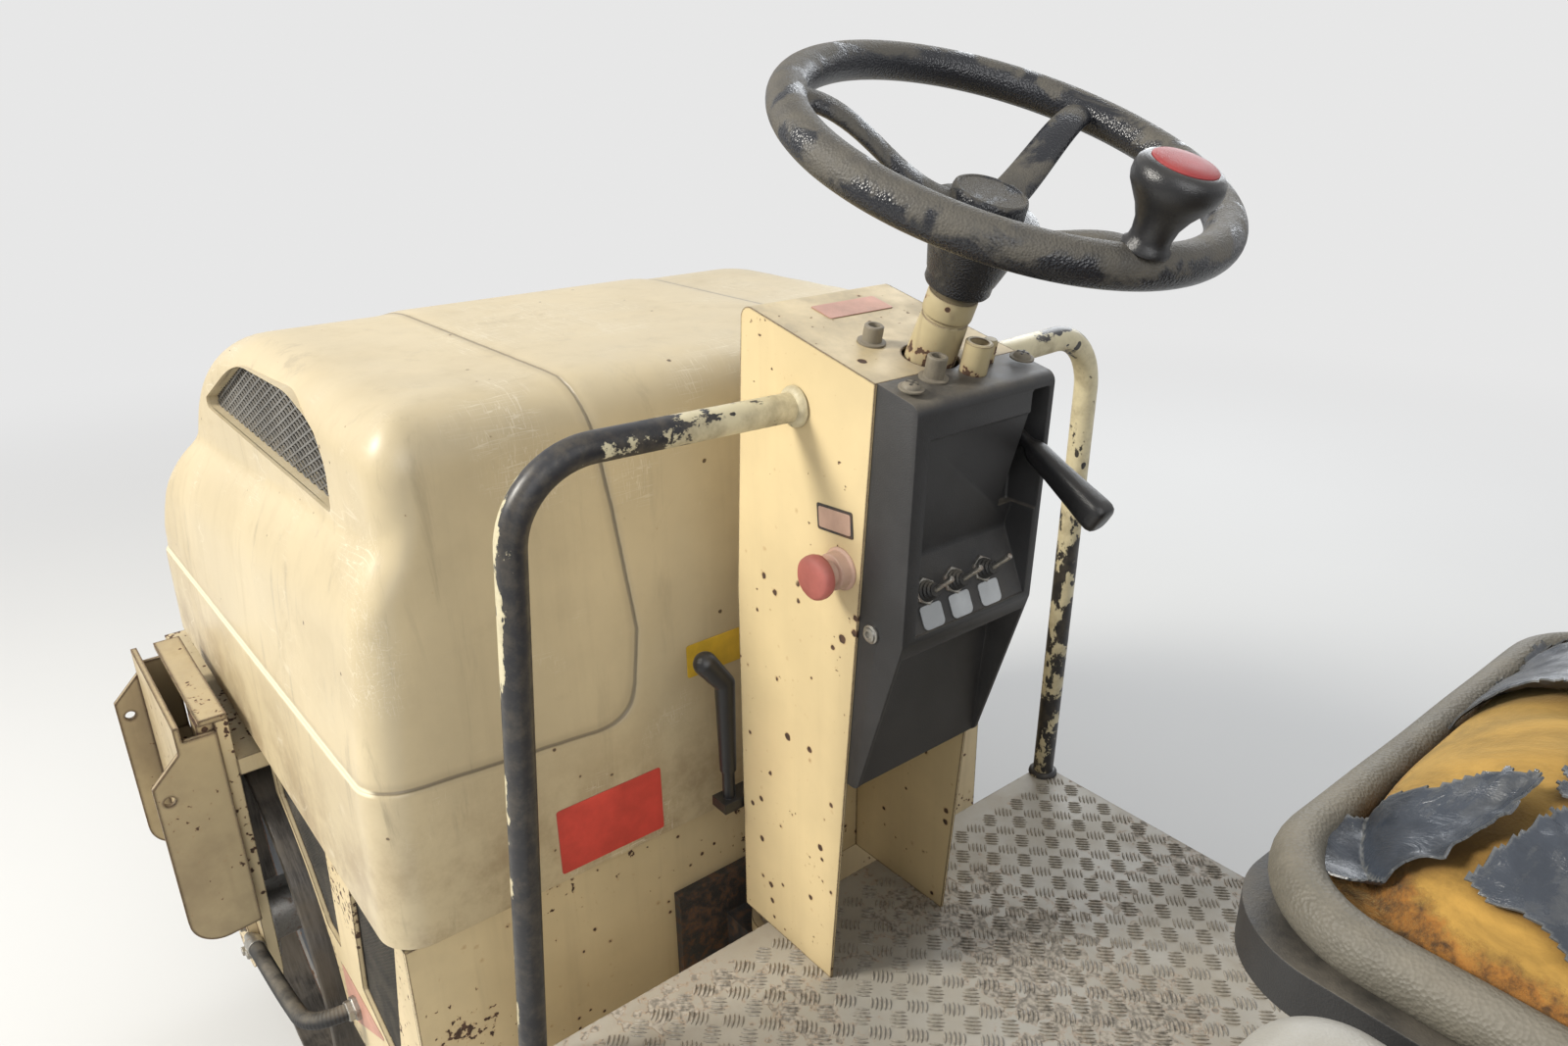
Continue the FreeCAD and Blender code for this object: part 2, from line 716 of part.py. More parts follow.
def seat_pan():
    """Pan below the cushion with its raised lip."""
    front = seat_front + 4
    rear = -reach + 50
    rows = [(front, -seat_half, 60), (rear, -seat_half, 60), (rear, seat_half, 60), (front, seat_half, 60)]
    return prism(rows, "xy", seat_low, cushion_low - seat_gap)


def cushion():
    """Seat cushion, a soft closed solid."""
    front = seat_front
    rear = -reach + 95
    rows = [(front, -seat_half, 70), (rear, -seat_half, 60), (rear, seat_half, 60), (front, seat_half, 70)]
    body = prism(rows, "xy", cushion_low, cushion_top)
    rim = [e for e in body.Edges if e.BoundBox.ZMin > cushion_top - 1]
    return body.makeFillet(24, rim)


def backrest():
    """Backrest, a soft closed solid that stands on the pan's rear."""
    rows = [
        (-reach + 90, cushion_low, 0), (-reach + 52, cushion_low, 0), (-reach, cushion_low + 302, 60),
        (-reach, cushion_low + 367, 18), (-reach + 54, cushion_low + 367, 26), (-reach + 90, cushion_low + 122, 60),
    ]
    return prism(rows, "xz", 15 - seat_half, seat_half - 15)


# Console, steering and controls

console_fold = platform_top + 394     # heights of the front face's fold, the top's front and its rear
console_front_top = platform_top + 680
console_rear_top = platform_top + 640
console_profile = [
    (-180, platform_top, 0), (-35, platform_top, 0), (-39, console_fold, 0), (-58, console_front_top, 12),
    (-232, console_rear_top, 0),
]


def pillar_rear(z):
    """X of the pillar's rear edge at height z."""
    return -180 - 52 * (z - platform_top) / (console_rear_top - platform_top)


def pillar_front(z):
    """X of the pillar's front face at height z, below the upper fold."""
    return -35 - 4 * (z - platform_top) / (console_fold - platform_top)


def console_pillar():
    """Folded sheet pillar, open to the rear where the cover fits."""
    outer = prism(console_profile, "xz", -console_half, console_half)
    w = console_wall
    foot = platform_top - 1
    inner_rows = [
        (-220, foot, 0), (-35 - w, foot, 0), (-39 - w, console_fold, 0), (-58 - w, console_front_top - w, 10),
        (-300, console_rear_top - 16 - w, 0),
    ]
    inner = prism(inner_rows, "xz", -console_half + w, console_half - w)
    shell = outer.cut(inner)
    column = rod(wheel_centre, wheel_centre - steer_axis * 400, column_r + 1)
    return shell.cut(column)


cover_low = platform_top + 250
shelf_back = (-240, console_rear_top - 155)     # deepest line of the cover's recess
shelf_edge = (-266, console_rear_top - 214)     # front edge of the shelf below it
lever_y = -64.0


def console_cover():
    """Moulded rear cover with its dished recess, shelf, lever slot and open foot."""
    half = console_half - 2
    top = console_rear_top
    outer_rows = [
        (-232, top, 0), (-278, top - 10, 10), (-268, top - 220, 8), (-214, cover_low, 8),
        (pillar_rear(cover_low), cover_low, 0),
    ]
    body = prism(outer_rows, "xz", -half, half)
    recess_rows = [
        (-300, top - 38, 0), (-275, top - 38, 0), (*shelf_back, 10), (*shelf_edge, 0), (-300, shelf_edge[1], 0),
    ]
    recess = prism(recess_rows, "xz", -half + 9, half - 15)
    slot = box(-300, -238, lever_y - 11, lever_y + 11, top - 132, top - 20)
    foot_top = shelf_edge[1] - 20
    foot_rows = [(-300, foot_top, 0), (-226, foot_top, 8), (-211, cover_low - 5, 0), (-300, cover_low - 5, 0)]
    foot = prism(foot_rows, "xz", -half + 4, half - 4)
    column = rod(wheel_centre, wheel_centre - steer_axis * 400, column_r + 1)
    return body.cut(recess).cut(slot).cut(foot).cut(column)


def drive_lever():
    """Travel lever with its flared grip, on a cross pin in the cover's slot."""
    z = console_rear_top - 60
    root = V(-248, lever_y, z)
    knee = V(-268, lever_y, z - 12)
    tip = V(-347, lever_y - 4, z - 60)
    pin = rod(V(-248, lever_y - 11, z), V(-248, lever_y + 11, z), 6)
    stem = rod(root, knee, 5)
    grip = cone(knee, tip, 7, 14)
    return fuse(pin, stem, grip)


# Toggle switches on the cover's shelf: y of each
toggle_ys = [41, 6, -31]


def toggles():
    """Three toggle switches with round boots on the shelf."""
    solids = []
    z = shelf_edge[1] + 30
    run = shelf_back[0] - shelf_edge[0]
    rise = shelf_back[1] - shelf_edge[1]
    x = shelf_edge[0] + run * (z - shelf_edge[1]) / rise
    out = V(-rise, 0, run).normalize()
    lean = V(-0.72, -0.12, 0.69)
    for y in toggle_ys:
        base = V(x, y, z)
        boot = cone(base, base + out * 15, 10, 6)
        stalk = rod(base + out * 12, base + out * 12 + lean * 24, 2.5)
        solids.append(fuse(boot, stalk))
    return solids


def stop_button():
    """Mushroom stop button with its collar on the console's left face."""
    y = console_half
    place = V(-193, y, console_rear_top - 171)
    out = V(0, 1, 0)
    collar = rod(place, place + out * 12, 15)
    stem = rod(place + out * 12, place + out * 22, 11)
    head = cone(place + out * 20, place + out * 30, 14, 20)
    cap = rod(place + out * 30, place + out * 36, 20)
    return fuse(collar, stem, head, cap)


steer_axis = V(-math.sin(math.radians(wheel_lean)), 0, math.cos(math.radians(wheel_lean)))
hub_drop = 112.0          # from the rim's plane down to the hub boot's foot
column_low = 262.0        # from the rim's plane down to the column's foot and its neck
column_neck = 136.0
column_neck_r = 19.8
collar_r = 21.0
shaft_r = 10.0


def column_tube():
    """Tapering steering column with the short collar under the hub."""
    low = wheel_centre - steer_axis * column_low
    neck = wheel_centre - steer_axis * column_neck
    top = wheel_centre - steer_axis * (hub_drop + 6)
    tube = cone(low, neck, column_r, column_neck_r)
    collar = rod(neck, top, collar_r)
    bore = rod(low + steer_axis * 30, top + steer_axis, shaft_r + shaft_gap)
    return fuse(tube, collar).cut(bore)


def column_bracket():
    """Cross plate in the console that carries the column."""
    foot = wheel_centre - steer_axis * column_low
    plate = Part.makeBox(90, 2 * (console_half - console_wall), 8)
    plate.translate(V(-45, -(console_half - console_wall), -8))
    plate.rotate(V(0, 0, 0), V(0, 1, 0), -wheel_lean)
    plate.translate(foot)
    return plate


def wheel_rim():
    """Steering wheel: round rim, three spokes, hub boot and shaft."""
    ring = Part.makeTorus(wheel_r - rim_r, rim_r, wheel_centre, steer_axis)
    boot = cone(wheel_centre - steer_axis * hub_drop, wheel_centre - steer_axis * 52, 27, 44)
    plate = rod(wheel_centre - steer_axis * 52, wheel_centre - steer_axis * 44, 44)
    cap = rod(wheel_centre - steer_axis * 44, wheel_centre - steer_axis * 31, 30)
    shaft = rod(wheel_centre - steer_axis * 215, wheel_centre - steer_axis * hub_drop, shaft_r)
    side = V(0, 1, 0)
    ahead = side.cross(steer_axis)
    spokes = []
    for degrees in (-70, 50, 170):
        a = math.radians(degrees)
        out = ahead * math.cos(a) + side * math.sin(a)
        root = wheel_centre - steer_axis * 50 + out * 28
        tip = wheel_centre + out * (wheel_r - rim_r)
        along = (tip - root).normalize()
        across = along.cross(steer_axis).normalize()
        up = across.cross(along)
        corners = [root + across * 17 - up * 4, root - across * 17 - up * 4, root - across * 17 + up * 4,
                   root + across * 17 + up * 4]
        far = [tip + across * 12 - up * 4, tip - across * 12 - up * 4, tip - across * 12 + up * 4,
               tip + across * 12 + up * 4]
        wires = [Part.makePolygon(ring_points + [ring_points[0]]) for ring_points in (corners, far)]
        spokes.append(Part.makeLoft(wires, True, True))
    return fuse(ring, boot, plate, cap, shaft, *spokes)


knob_turn = 165.0         # place of the spinner knob round the rim, from straight ahead


def spinner_knob():
    """Spinner knob on the rim."""
    side = V(0, 1, 0)
    ahead = side.cross(steer_axis)
    a = math.radians(knob_turn)
    out = ahead * math.cos(a) + side * math.sin(a)
    foot = wheel_centre + out * (wheel_r - rim_r) + steer_axis * (rim_r - 1)
    profile = [(0, 0), (13, 0), (13.5, 10), (18, 24), (27, 37), (29, 44), (28, 52), (22, 57), (0, 58)]
    rows = [(radius, height, 0) for radius, height in profile]
    face = Part.Face(outline(rows, "xz", 0))
    knob = face.revolve(V(0, 0, 0), V(0, 0, 1), 360)
    knob.rotate(V(0, 0, 0), V(0, 1, 0), -wheel_lean)
    knob.translate(foot)
    return knob.cut(Part.makeTorus(wheel_r - rim_r, rim_r, wheel_centre, steer_axis))


def handrail():
    """Bent tube from the console's side out and down to the platform's edge."""
    root = V(-133, console_half - 6, platform_top + 601)
    corner = V(-120, 344, platform_top + 604)
    foot = V(-85.7, platform_half - rail_r - 0.5, platform_top - 6)
    tube = bent_tube([root, corner, foot], rail_bend, rail_r, 2.5)
    inside = box(-300, 100, 0, console_half, platform_top, wheel_centre.z)
    below = box(-300, 100, 0, 500, platform_top - 60, platform_top)
    return tube.cut(inside).cut(below)


lever_foot = V(-22, console_half + 9, platform_top + 136)     # hand lever beside the console's front edge
lever_knee = lever_foot + V(0, 0, 146)
lever_head = lever_knee + V(10, 16, 24)


def hand_lever():
    """Hand lever with its bracket on the front of the console's foot."""
    top = lever_foot.z + 6
    low = top - 62
    back_rows = [
        (pillar_front(low), low, 0), (pillar_front(low) + 4, low, 0), (pillar_front(top) + 4, top, 0),
        (pillar_front(top), top, 0),
    ]
    back = prism(back_rows, "xz", 20, console_half - 3)
    bracket = box(pillar_front(top) + 2, -10, 20, lever_foot.y + 14, top - 12, top)
    stem = rod(lever_foot, lever_foot + V(0, 0, 54), 7)
    grip = cone(lever_foot + V(0, 0, 40), lever_knee, 9, 11)
    knee = Part.makeSphere(11, lever_knee)
    head = cone(lever_knee, lever_head, 11, 13)
    tip = Part.makeSphere(13, lever_head)
    return fuse(bracket, back, stem, grip, knee, head, tip)


hose_root = V(352, front_side_half, 372)
hose_r = 11.0
hose_bend = 40.0


def hydraulic_hose():
    """Armoured hose from the left side panel forward to the drum's hub."""
    y = arm_y + arm_thick + hose_r + 2
    turn = V(hose_root.x, y - 6, hose_root.z)
    points = [hose_root, turn, V(450, y - 3, 345), V(550, y, 332), V(640, y, 312)]
    hose = bent_tube(points, hose_bend, hose_r, 0)
    gland = rod(hose_root, hose_root + V(0, 9, 0), hose_r + 6)
    fitting = rod(V(632, y, 314), V(660, y, 306), 8)
    hub = rod(V(axle_x, y - 30, drum_r), V(axle_x, y + 30, drum_r), hub_r)
    return fuse(hose, gland, fitting).cut(hub)


nodes = {
    "front_drum": [drum(axle_x)],
    "rear_drum": [drum(-axle_x)],
    "front_drum_ends": pair(drum_end(axle_x)),
    "rear_drum_ends": pair(drum_end(-axle_x)),
    "front_stub_axles": pair(stub_axle(axle_x, arm_y)),
    "rear_stub_axles": pair(stub_axle(-axle_x, arm_y)),
    "front_arms": pair(arm(axle_x, front_arm_top, arm_y)),
    "rear_arms": pair(arm(-axle_x, platform_top - sheet, arm_y)),
    "front_boxes": pair(front_box()),
    "wear_bars": pair(wear_bar()),
    "front_frame": [front_frame()],
    "bulkhead": [fuse(bulkhead(), clevis(ram_head, bulkhead_x, ram_head_gap))],
    "front_sides": pair(front_side()),
    "side_vents": [s for plate in vent_mesh() for s in pair(plate)],
    "front_scrapers": [scraper(axle_x, -1, True), scraper(axle_x, 1, False)],
    "rear_scrapers": [scraper(-axle_x, 1, True), scraper(-axle_x, -1, False)],
    "pivot_block": [pivot_block()],
    "pivot_pin": [pivot_pin()],
    "engine_block": [engine()],
    "hood": [hood_shell()],
    "hood_grilles": pair(hood_grille()),
    "hinge_lugs": [hood_hinge_lug(hood_hinge_y), hood_hinge_lug(-hood_hinge_y)],
    "hinge_arms": [hood_hinge_arm(hood_hinge_y), hood_hinge_arm(-hood_hinge_y)],
    "hydraulic_hose": [hydraulic_hose()],
    "steer_barrel": [steer_barrel()],
    "steer_ram": [steer_ram()],
    "rear_frame": [rear_frame()],
    "rear_sides": pair(rear_side()),
    "platform": [platform()],
    "side_tanks": pair(side_tank()),
    "seat_pedestal": [seat_pedestal()],
    "seat_pan": [seat_pan()],
    "seat_cushion": [cushion()],
    "seat_backrest": [backrest()],
    "console_pillar": [console_pillar()],
    "console_cover": [console_cover()],
    "drive_lever": [drive_lever()],
    "toggle_switches": toggles(),
    "stop_button": [stop_button()],
    "column_tube": [column_tube()],
    "column_bracket": [column_bracket()],
    "steering_wheel": [wheel_rim()],
    "spinner_knob": [spinner_knob()],
    "handrails": pair(handrail()),
    "hand_lever": [hand_lever()],
}

for node, shapes in nodes.items():
    save(node, *shapes)
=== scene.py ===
"""Looks of the small ride-on tandem road roller, in metres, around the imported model.

X points forward, Y to the machine's left and Z up, as in the model. Each new piece is a
surface worked out on a grid, and each material is a graph on Object coordinates.
"""
import bpy
import json
import math
import numpy as np
from mathutils import Matrix, Vector


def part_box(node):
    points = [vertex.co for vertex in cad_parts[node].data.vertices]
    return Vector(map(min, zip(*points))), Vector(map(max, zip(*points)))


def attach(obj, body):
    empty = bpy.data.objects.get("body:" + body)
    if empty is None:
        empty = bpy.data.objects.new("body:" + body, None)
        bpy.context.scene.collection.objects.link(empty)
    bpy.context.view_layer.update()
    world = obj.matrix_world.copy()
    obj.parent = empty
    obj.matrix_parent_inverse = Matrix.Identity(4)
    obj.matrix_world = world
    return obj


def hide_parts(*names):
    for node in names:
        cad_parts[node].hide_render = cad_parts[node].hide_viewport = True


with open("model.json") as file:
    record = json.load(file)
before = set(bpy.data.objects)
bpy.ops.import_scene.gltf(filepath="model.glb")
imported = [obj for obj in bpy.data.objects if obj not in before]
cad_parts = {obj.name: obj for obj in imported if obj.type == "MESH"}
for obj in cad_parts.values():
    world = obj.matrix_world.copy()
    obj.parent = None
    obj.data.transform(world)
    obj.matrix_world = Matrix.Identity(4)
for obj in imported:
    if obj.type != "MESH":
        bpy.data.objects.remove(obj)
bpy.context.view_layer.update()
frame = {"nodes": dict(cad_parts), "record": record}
nodes = frame["nodes"]


# Shapes: every function returns (points, faces) with outward faces

def grid_faces(rows, cols, wrap_rows=False, wrap_cols=False):
    """Quads between neighbouring rows and columns of a grid whose points run row by row."""
    r = np.arange(rows if wrap_rows else rows - 1)
    c = np.arange(cols if wrap_cols else cols - 1)
    r, c = np.meshgrid(r, c, indexing="ij")
    r2 = (r + 1) % rows
    c2 = (c + 1) % cols
    quads = np.stack([r * cols + c, r * cols + c2, r2 * cols + c2, r2 * cols + c], axis=-1)
    return quads.reshape(-1, 4)


def grid(points, wrap_rows=False, wrap_cols=False, flip=False, cap_first=False, cap_last=False):
    """Surface over a rows x columns array of points; a cap closes a ring of columns."""
    rows, cols = points.shape[:2]
    faces = grid_faces(rows, cols, wrap_rows, wrap_cols)
    if flip:
        faces = faces[:, ::-1]
    faces = [list(map(int, face)) for face in faces]
    first = list(range(cols))
    last = [(rows - 1) * cols + i for i in range(cols)]
    if cap_first:
        faces.append(first if flip else first[::-1])
    if cap_last:
        faces.append(last[::-1] if flip else last)
    return points.reshape(-1, 3), faces


def joined(*shapes):
    """Several shapes as one list of points and faces."""
    points = []
    faces = []
    start = 0
    for pts, fcs in shapes:
        points.append(np.asarray(pts, float))
        faces += [[start + i for i in face] for face in fcs]
        start += len(pts)
    return np.concatenate(points), faces


def mirror_y(shape):
    """The same shape on the other side, its faces turned so that they point outwards."""
    pts, fcs = shape
    pts = np.array(pts, float)
    pts[:, 1] *= -1
    return pts, [face[::-1] for face in fcs]


def basis(axis):
    """Two unit vectors square to the axis, and the axis itself, as rows."""
    w = np.asarray(axis, float)
    w = w / np.linalg.norm(w)
    helper = np.array([0.0, 1.0, 0.0]) if abs(w[1]) < 0.9 else np.array([1.0, 0.0, 0.0])
    u = np.cross(helper, w)
    u = u / np.linalg.norm(u)
    return np.stack([u, np.cross(w, u), w])


def lathe(rows, origin, axis, sides=48):
    """Rows of (radius, height) turned round the axis through the origin, caps at both ends."""
    rows = np.asarray(rows, float)
    u, v, w = basis(axis)
    a = np.linspace(0, 2 * math.pi, sides, endpoint=False)
    ring = np.cos(a)[:, None] * u + np.sin(a)[:, None] * v
    points = np.asarray(origin) + rows[:, 0, None, None] * ring + rows[:, 1, None, None] * w
    return grid(points, wrap_cols=True, cap_first=True, cap_last=True)


def torus(origin, axis, major, minor, around=128, section=24):
    """Ring of radius major with a round section."""
    u, v, w = basis(axis)
    a = np.linspace(0, 2 * math.pi, around, endpoint=False)
    b = np.linspace(0, 2 * math.pi, section, endpoint=False)
    out = np.cos(a)[:, None] * u + np.sin(a)[:, None] * v
    flat = major + minor * np.cos(b)
    points = np.asarray(origin) + flat[None, :, None] * out[:, None, :] + (minor * np.sin(b))[None, :,
                                                                                              None] * w
    return grid(points, wrap_rows=True, wrap_cols=True, flip=True)


def smooth_path(corners, bend, step=0.006):
    """Points along straight runs joined by arcs of the given radius, about a step apart on arcs."""
    corners = [np.asarray(c, float) for c in corners]
    path = [corners[0][None]]
    last = corners[0]
    for here, after in zip(corners[1:-1], corners[2:]):
        back = (last - here) / np.linalg.norm(last - here)
        ahead = (after - here) / np.linalg.norm(after - here)
        half = math.acos(np.clip(back @ ahead, -1, 1)) / 2
        cut = bend / math.tan(half)
        middle = here + (back + ahead) / np.linalg.norm(back + ahead) * bend / math.sin(half)
        start = here + back * cut
        end = here + ahead * cut
        n = max(6, int(bend * (math.pi - 2 * half) / step))
        t = np.linspace(0, math.pi - 2 * half, n)[:, None]
        e1 = (start - middle) / bend
        e2 = back * -1
        path.append(middle + bend * (np.cos(t) * e1 + np.sin(t) * e2))
        last = end
    path.append(corners[-1][None])
    return np.concatenate(path)


def tube(path, radius, sides=24):
    """Round tube along a path, its section carried on without twist; radius is one value or one a point."""
    path = np.asarray(path, float)
    ahead = np.gradient(path, axis=0)
    ahead /= np.linalg.norm(ahead, axis=1)[:, None]
    side = [basis(ahead[0])[0]]
    for way in ahead[1:]:
        turned = side[-1] - way * (side[-1] @ way)
        side.append(turned / np.linalg.norm(turned))
    side = np.array(side)
    up = np.cross(side, ahead)
    a = np.linspace(0, 2 * math.pi, sides, endpoint=False)
    r = np.broadcast_to(radius, (len(path),))[:, None, None]
    points = path[:,
                  None] + r * (np.cos(a)[None, :, None] * up[:, None] + np.sin(a)[None, :, None]
                               * side[:, None])
    return grid(points, wrap_cols=True, cap_first=True, cap_last=True)


def spline_path(route):
    """Points along the smooth curve that a route's points steer."""
    curve = bpy.data.curves.new("route", "CURVE")
    curve.dimensions = "3D"
    curve.resolution_u = 40
    spline = curve.splines.new("NURBS")
    spline.points.add(len(route) - 1)
    for row, place in zip(spline.points, route):
        row.co = (*place, 1.0)
    spline.order_u = 3
    spline.use_endpoint_u = True
    line = bpy.data.objects.new("route", curve)
    bpy.context.scene.collection.objects.link(line)
    mesh = bpy.data.meshes.new_from_object(line)
    path = np.empty(len(mesh.vertices) * 3)
    mesh.vertices.foreach_get("co", path)
    bpy.data.objects.remove(line)
    bpy.data.meshes.remove(mesh)
    bpy.data.curves.remove(curve)
    return path.reshape(-1, 3)


def even_path(path, gap):
    """The same line with its points an even gap apart."""
    along = np.concatenate([[0.0], np.cumsum(np.linalg.norm(np.diff(path, axis=0), axis=1))])
    at = np.linspace(0, along[-1], int(along[-1] / gap) + 1)
    return np.stack([np.interp(at, along, path[:, k]) for k in range(3)], axis=1), along[-1]


def rounded_outline(rows, arc=8):
    """Closed outline through (u, v, corner radius) rows, each corner an arc of a few points."""
    rows = np.asarray(rows, float)
    points = []
    count = len(rows)
    for i in range(count):
        here, before, after = rows[i, :2], rows[i - 1, :2], rows[(i + 1) % count, :2]
        radius = rows[i, 2]
        if radius <= 0:
            points.append(here[None])
            continue
        back = (before - here) / np.linalg.norm(before - here)
        ahead = (after - here) / np.linalg.norm(after - here)
        half = math.acos(np.clip(back @ ahead, -1, 1)) / 2
        middle = here + (back + ahead) / np.linalg.norm(back + ahead) * radius / math.sin(half)
        start = here + back * radius / math.tan(half) - middle
        t = np.linspace(0, math.pi - 2 * half, arc)
        turn = 1 if start[0] * -back[1] + start[1] * back[0] > 0 else -1
        cos, sin = np.cos(t), np.sin(t) * turn
        points.append(middle
                      + np.stack([start[0] * cos - start[1] * sin, start[0] * sin + start[1] * cos],
                                 axis=1))
    return np.concatenate(points)


def slab(outline, plane, low, high, edge=0.0015):
    """Plate with the outline between two parallel planes, its edges chamfered by edge.

    The outline shrinks by edge towards both faces, along its own normals, so that light
    catches the rim.
    """
    outline = np.asarray(outline, float)
    area = np.sum(outline[:, 0] * np.roll(outline[:, 1], -1) - np.roll(outline[:, 0], -1) * outline[:, 1])
    if area < 0:
        outline = outline[::-1]
    before = outline - np.roll(outline, 1, axis=0)
    after = np.roll(outline, -1, axis=0) - outline
    n1 = np.stack([before[:, 1], -before[:, 0]], 1) / np.maximum(np.linalg.norm(before, axis=1)[:, None],
                                                                 1e-9)
    n2 = np.stack([after[:, 1], -after[:, 0]], 1) / np.maximum(np.linalg.norm(after, axis=1)[:, None], 1e-9)
    n = n1 + n2
    n /= np.maximum(np.sum(n * n, axis=1)[:, None], 0.4) / 2
    inner = outline - n * edge
    levels = [(inner, low), (outline, low + edge), (outline, high - edge), (inner, high)]
    order = {"xy": (0, 1, 2), "xz": (0, 2, 1), "yz": (1, 2, 0)}[plane]
    points = np.zeros((4, len(outline), 3))
    for k, (ring, w) in enumerate(levels):
        points[k, :, order[0]] = ring[:, 0]
        points[k, :, order[1]] = ring[:, 1]
        points[k, :, order[2]] = w
    return grid(points, wrap_cols=True, cap_first=True, cap_last=True, flip=plane == "xz")


def block(low, high, radius=0.004, arc=4):
    """Box with rounded edges: a sphere's grid pushed apart to the box's corners."""
    low = np.asarray(low, float)
    high = np.asarray(high, float)
    centre = (low + high) / 2
    half = (high - low) / 2 - radius
    lat = np.concatenate([np.linspace(-math.pi / 2, 0, arc + 1), np.linspace(0, math.pi / 2, arc + 1)])
    lat_sign = np.repeat([-1.0, 1.0], arc + 1)
    lon = np.concatenate([q * math.pi / 2 + np.linspace(0, math.pi / 2, arc + 1) for q in range(4)])
    sx = np.repeat([1.0, -1.0, -1.0, 1.0], arc + 1)
    sy = np.repeat([1.0, 1.0, -1.0, -1.0], arc + 1)
    n = np.stack([
        np.cos(lat)[:, None] * np.cos(lon), np.cos(lat)[:, None] * np.sin(lon),
        np.sin(lat)[:, None] * np.ones_like(lon)], axis=-1)
    sign = np.stack([
        np.broadcast_to(sx, n.shape[:2]), np.broadcast_to(sy, n.shape[:2]),
        np.broadcast_to(lat_sign[:, None], n.shape[:2])], axis=-1)
    points = centre + sign * half + n * radius
    return grid(points, wrap_cols=True, cap_first=True, cap_last=True)


def bolt(origin, axis, across=0.017, tall=0.008, washer=True):
    """Hexagon head on a thin round washer."""
    parts = []
    rise = 0.0
    if washer:
        parts.append(lathe([(across * 0.62, 0), (across * 0.66, 0.0006), (across * 0.66, 0.0018),
                            (across * 0.6, 0.0022)], origin, axis, sides=20))
        rise = 0.002
    r = across / math.sqrt(3)
    parts.append(lathe([(r, rise), (r, rise + tall * 0.85), (r * 0.86, rise + tall)], origin, axis, sides=6))
    return joined(*parts)


# Pieces

def piece(name, body, shape, material, replaced=(), smooth=40, bevel=0.0, weld=True):
    """One finished object: merged, shaded smooth up to an angle, on its body and in its slot."""
    pts, fcs = shape
    mesh = bpy.data.meshes.new(name)
    mesh.from_pydata(np.asarray(pts).tolist(), [], [list(f) for f in fcs])
    mesh.validate()
    obj = bpy.data.objects.new(name, mesh)
    bpy.context.scene.collection.objects.link(obj)
    mesh.materials.append(material)
    finish(obj, smooth, bevel, weld)
    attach(obj, body)
    if replaced:
        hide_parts(*replaced)
    return obj


def finish(obj, smooth=40, bevel=0.0, weld=True):
    """Merges doubles, bevels sharp edges if asked, and shades smooth below the angle."""
    if weld:
        add_modifier(obj, "WELD", merge_threshold=1e-6)
    if bevel:
        add_modifier(obj, "BEVEL", width=bevel, segments=2, limit_method="ANGLE",
                     angle_limit=math.radians(40))
    obj.data.shade_smooth()
    obj.data.set_sharp_from_angle(angle=math.radians(smooth))


def add_modifier(obj, kind, **settings):
    """Adds a modifier, sets it and applies it at once."""
    made = obj.modifiers.new(kind.lower(), kind)
    for key, value in settings.items():
        setattr(made, key, value)
    depsgraph = bpy.context.evaluated_depsgraph_get()
    mesh = bpy.data.meshes.new_from_object(obj.evaluated_get(depsgraph))
    obj.modifiers.remove(made)
    old = obj.data
    obj.data = mesh
    mesh.name = old.name
    bpy.data.meshes.remove(old)


def scratch_object(shape):
    """A helper object for a boolean, deleted again by carve."""
    pts, fcs = shape
    mesh = bpy.data.meshes.new("cutter")
    mesh.from_pydata(np.asarray(pts).tolist(), [], [list(f) for f in fcs])
    obj = bpy.data.objects.new("cutter", mesh)
    bpy.context.scene.collection.objects.link(obj)
    add_modifier(obj, "WELD", merge_threshold=1e-6)
    return obj


def carve(obj, *shapes):
    """Takes each shape out of the object."""
    for shape in shapes:
        tool = scratch_object(shape)
        add_modifier(obj, "BOOLEAN", operation="DIFFERENCE", solver="EXACT", object=tool)
        mesh = tool.data
        bpy.data.objects.remove(tool)
        bpy.data.meshes.remove(mesh)


# Materials

graph = None      # the node tree that new shader nodes go into


def begin_graph(tree):
    """Makes an emptied node tree the one that new shader nodes go into."""
    global graph
    tree.nodes.clear()
    graph = tree


class Field:
    """An output of a shader node; arithmetic on it adds Math nodes."""

    def __init__(self, socket):
        self.socket = socket

    def __add__(self, other):
        return maths("ADD", self, other)

    def __radd__(self, other):
        return maths("ADD", other, self)

    def __sub__(self, other):
        return maths("SUBTRACT", self, other)

    def __rsub__(self, other):
        return maths("SUBTRACT", other, self)

    def __mul__(self, other):
        return maths("MULTIPLY", self, other)

    def __pow__(self, other):
        return maths("POWER", self, other)

    def __abs__(self):
        return maths("ABSOLUTE", self, 0.0)


class Node:
    """A shader node: reading an item gives an output, setting an item links or sets an input."""

    def __init__(self, kind, values=None, **settings):
        self.made = graph.nodes.new(kind if kind.startswith("NodeGroup") else "ShaderNode" + kind)
        for key, value in settings.items():
            setattr(self.made, key, value)
        for key, value in (values or {}).items():
            self[key] = value

    def __getitem__(self, key):
        return Field(self.made.outputs[key])

    def __setitem__(self, key, value):
        socket = self.made.inputs[key]
        if isinstance(value, Field):
            graph.links.new(value.socket, socket)
        elif socket.type == "RGBA" and len(value) == 3:
            socket.default_value = (*value, 1.0)
        else:
            socket.default_value = value


def maths(operation, a, b):
    """One Math node."""
    return Node("Math", {0: a, 1: b}, operation=operation)[0]


def larger(a, b):
    """The larger of two values."""
    return maths("MAXIMUM", a, b)


def clamped(value):
    """The Math node's value kept between 0 and 1."""
    value.socket.node.use_clamp = True
    return value


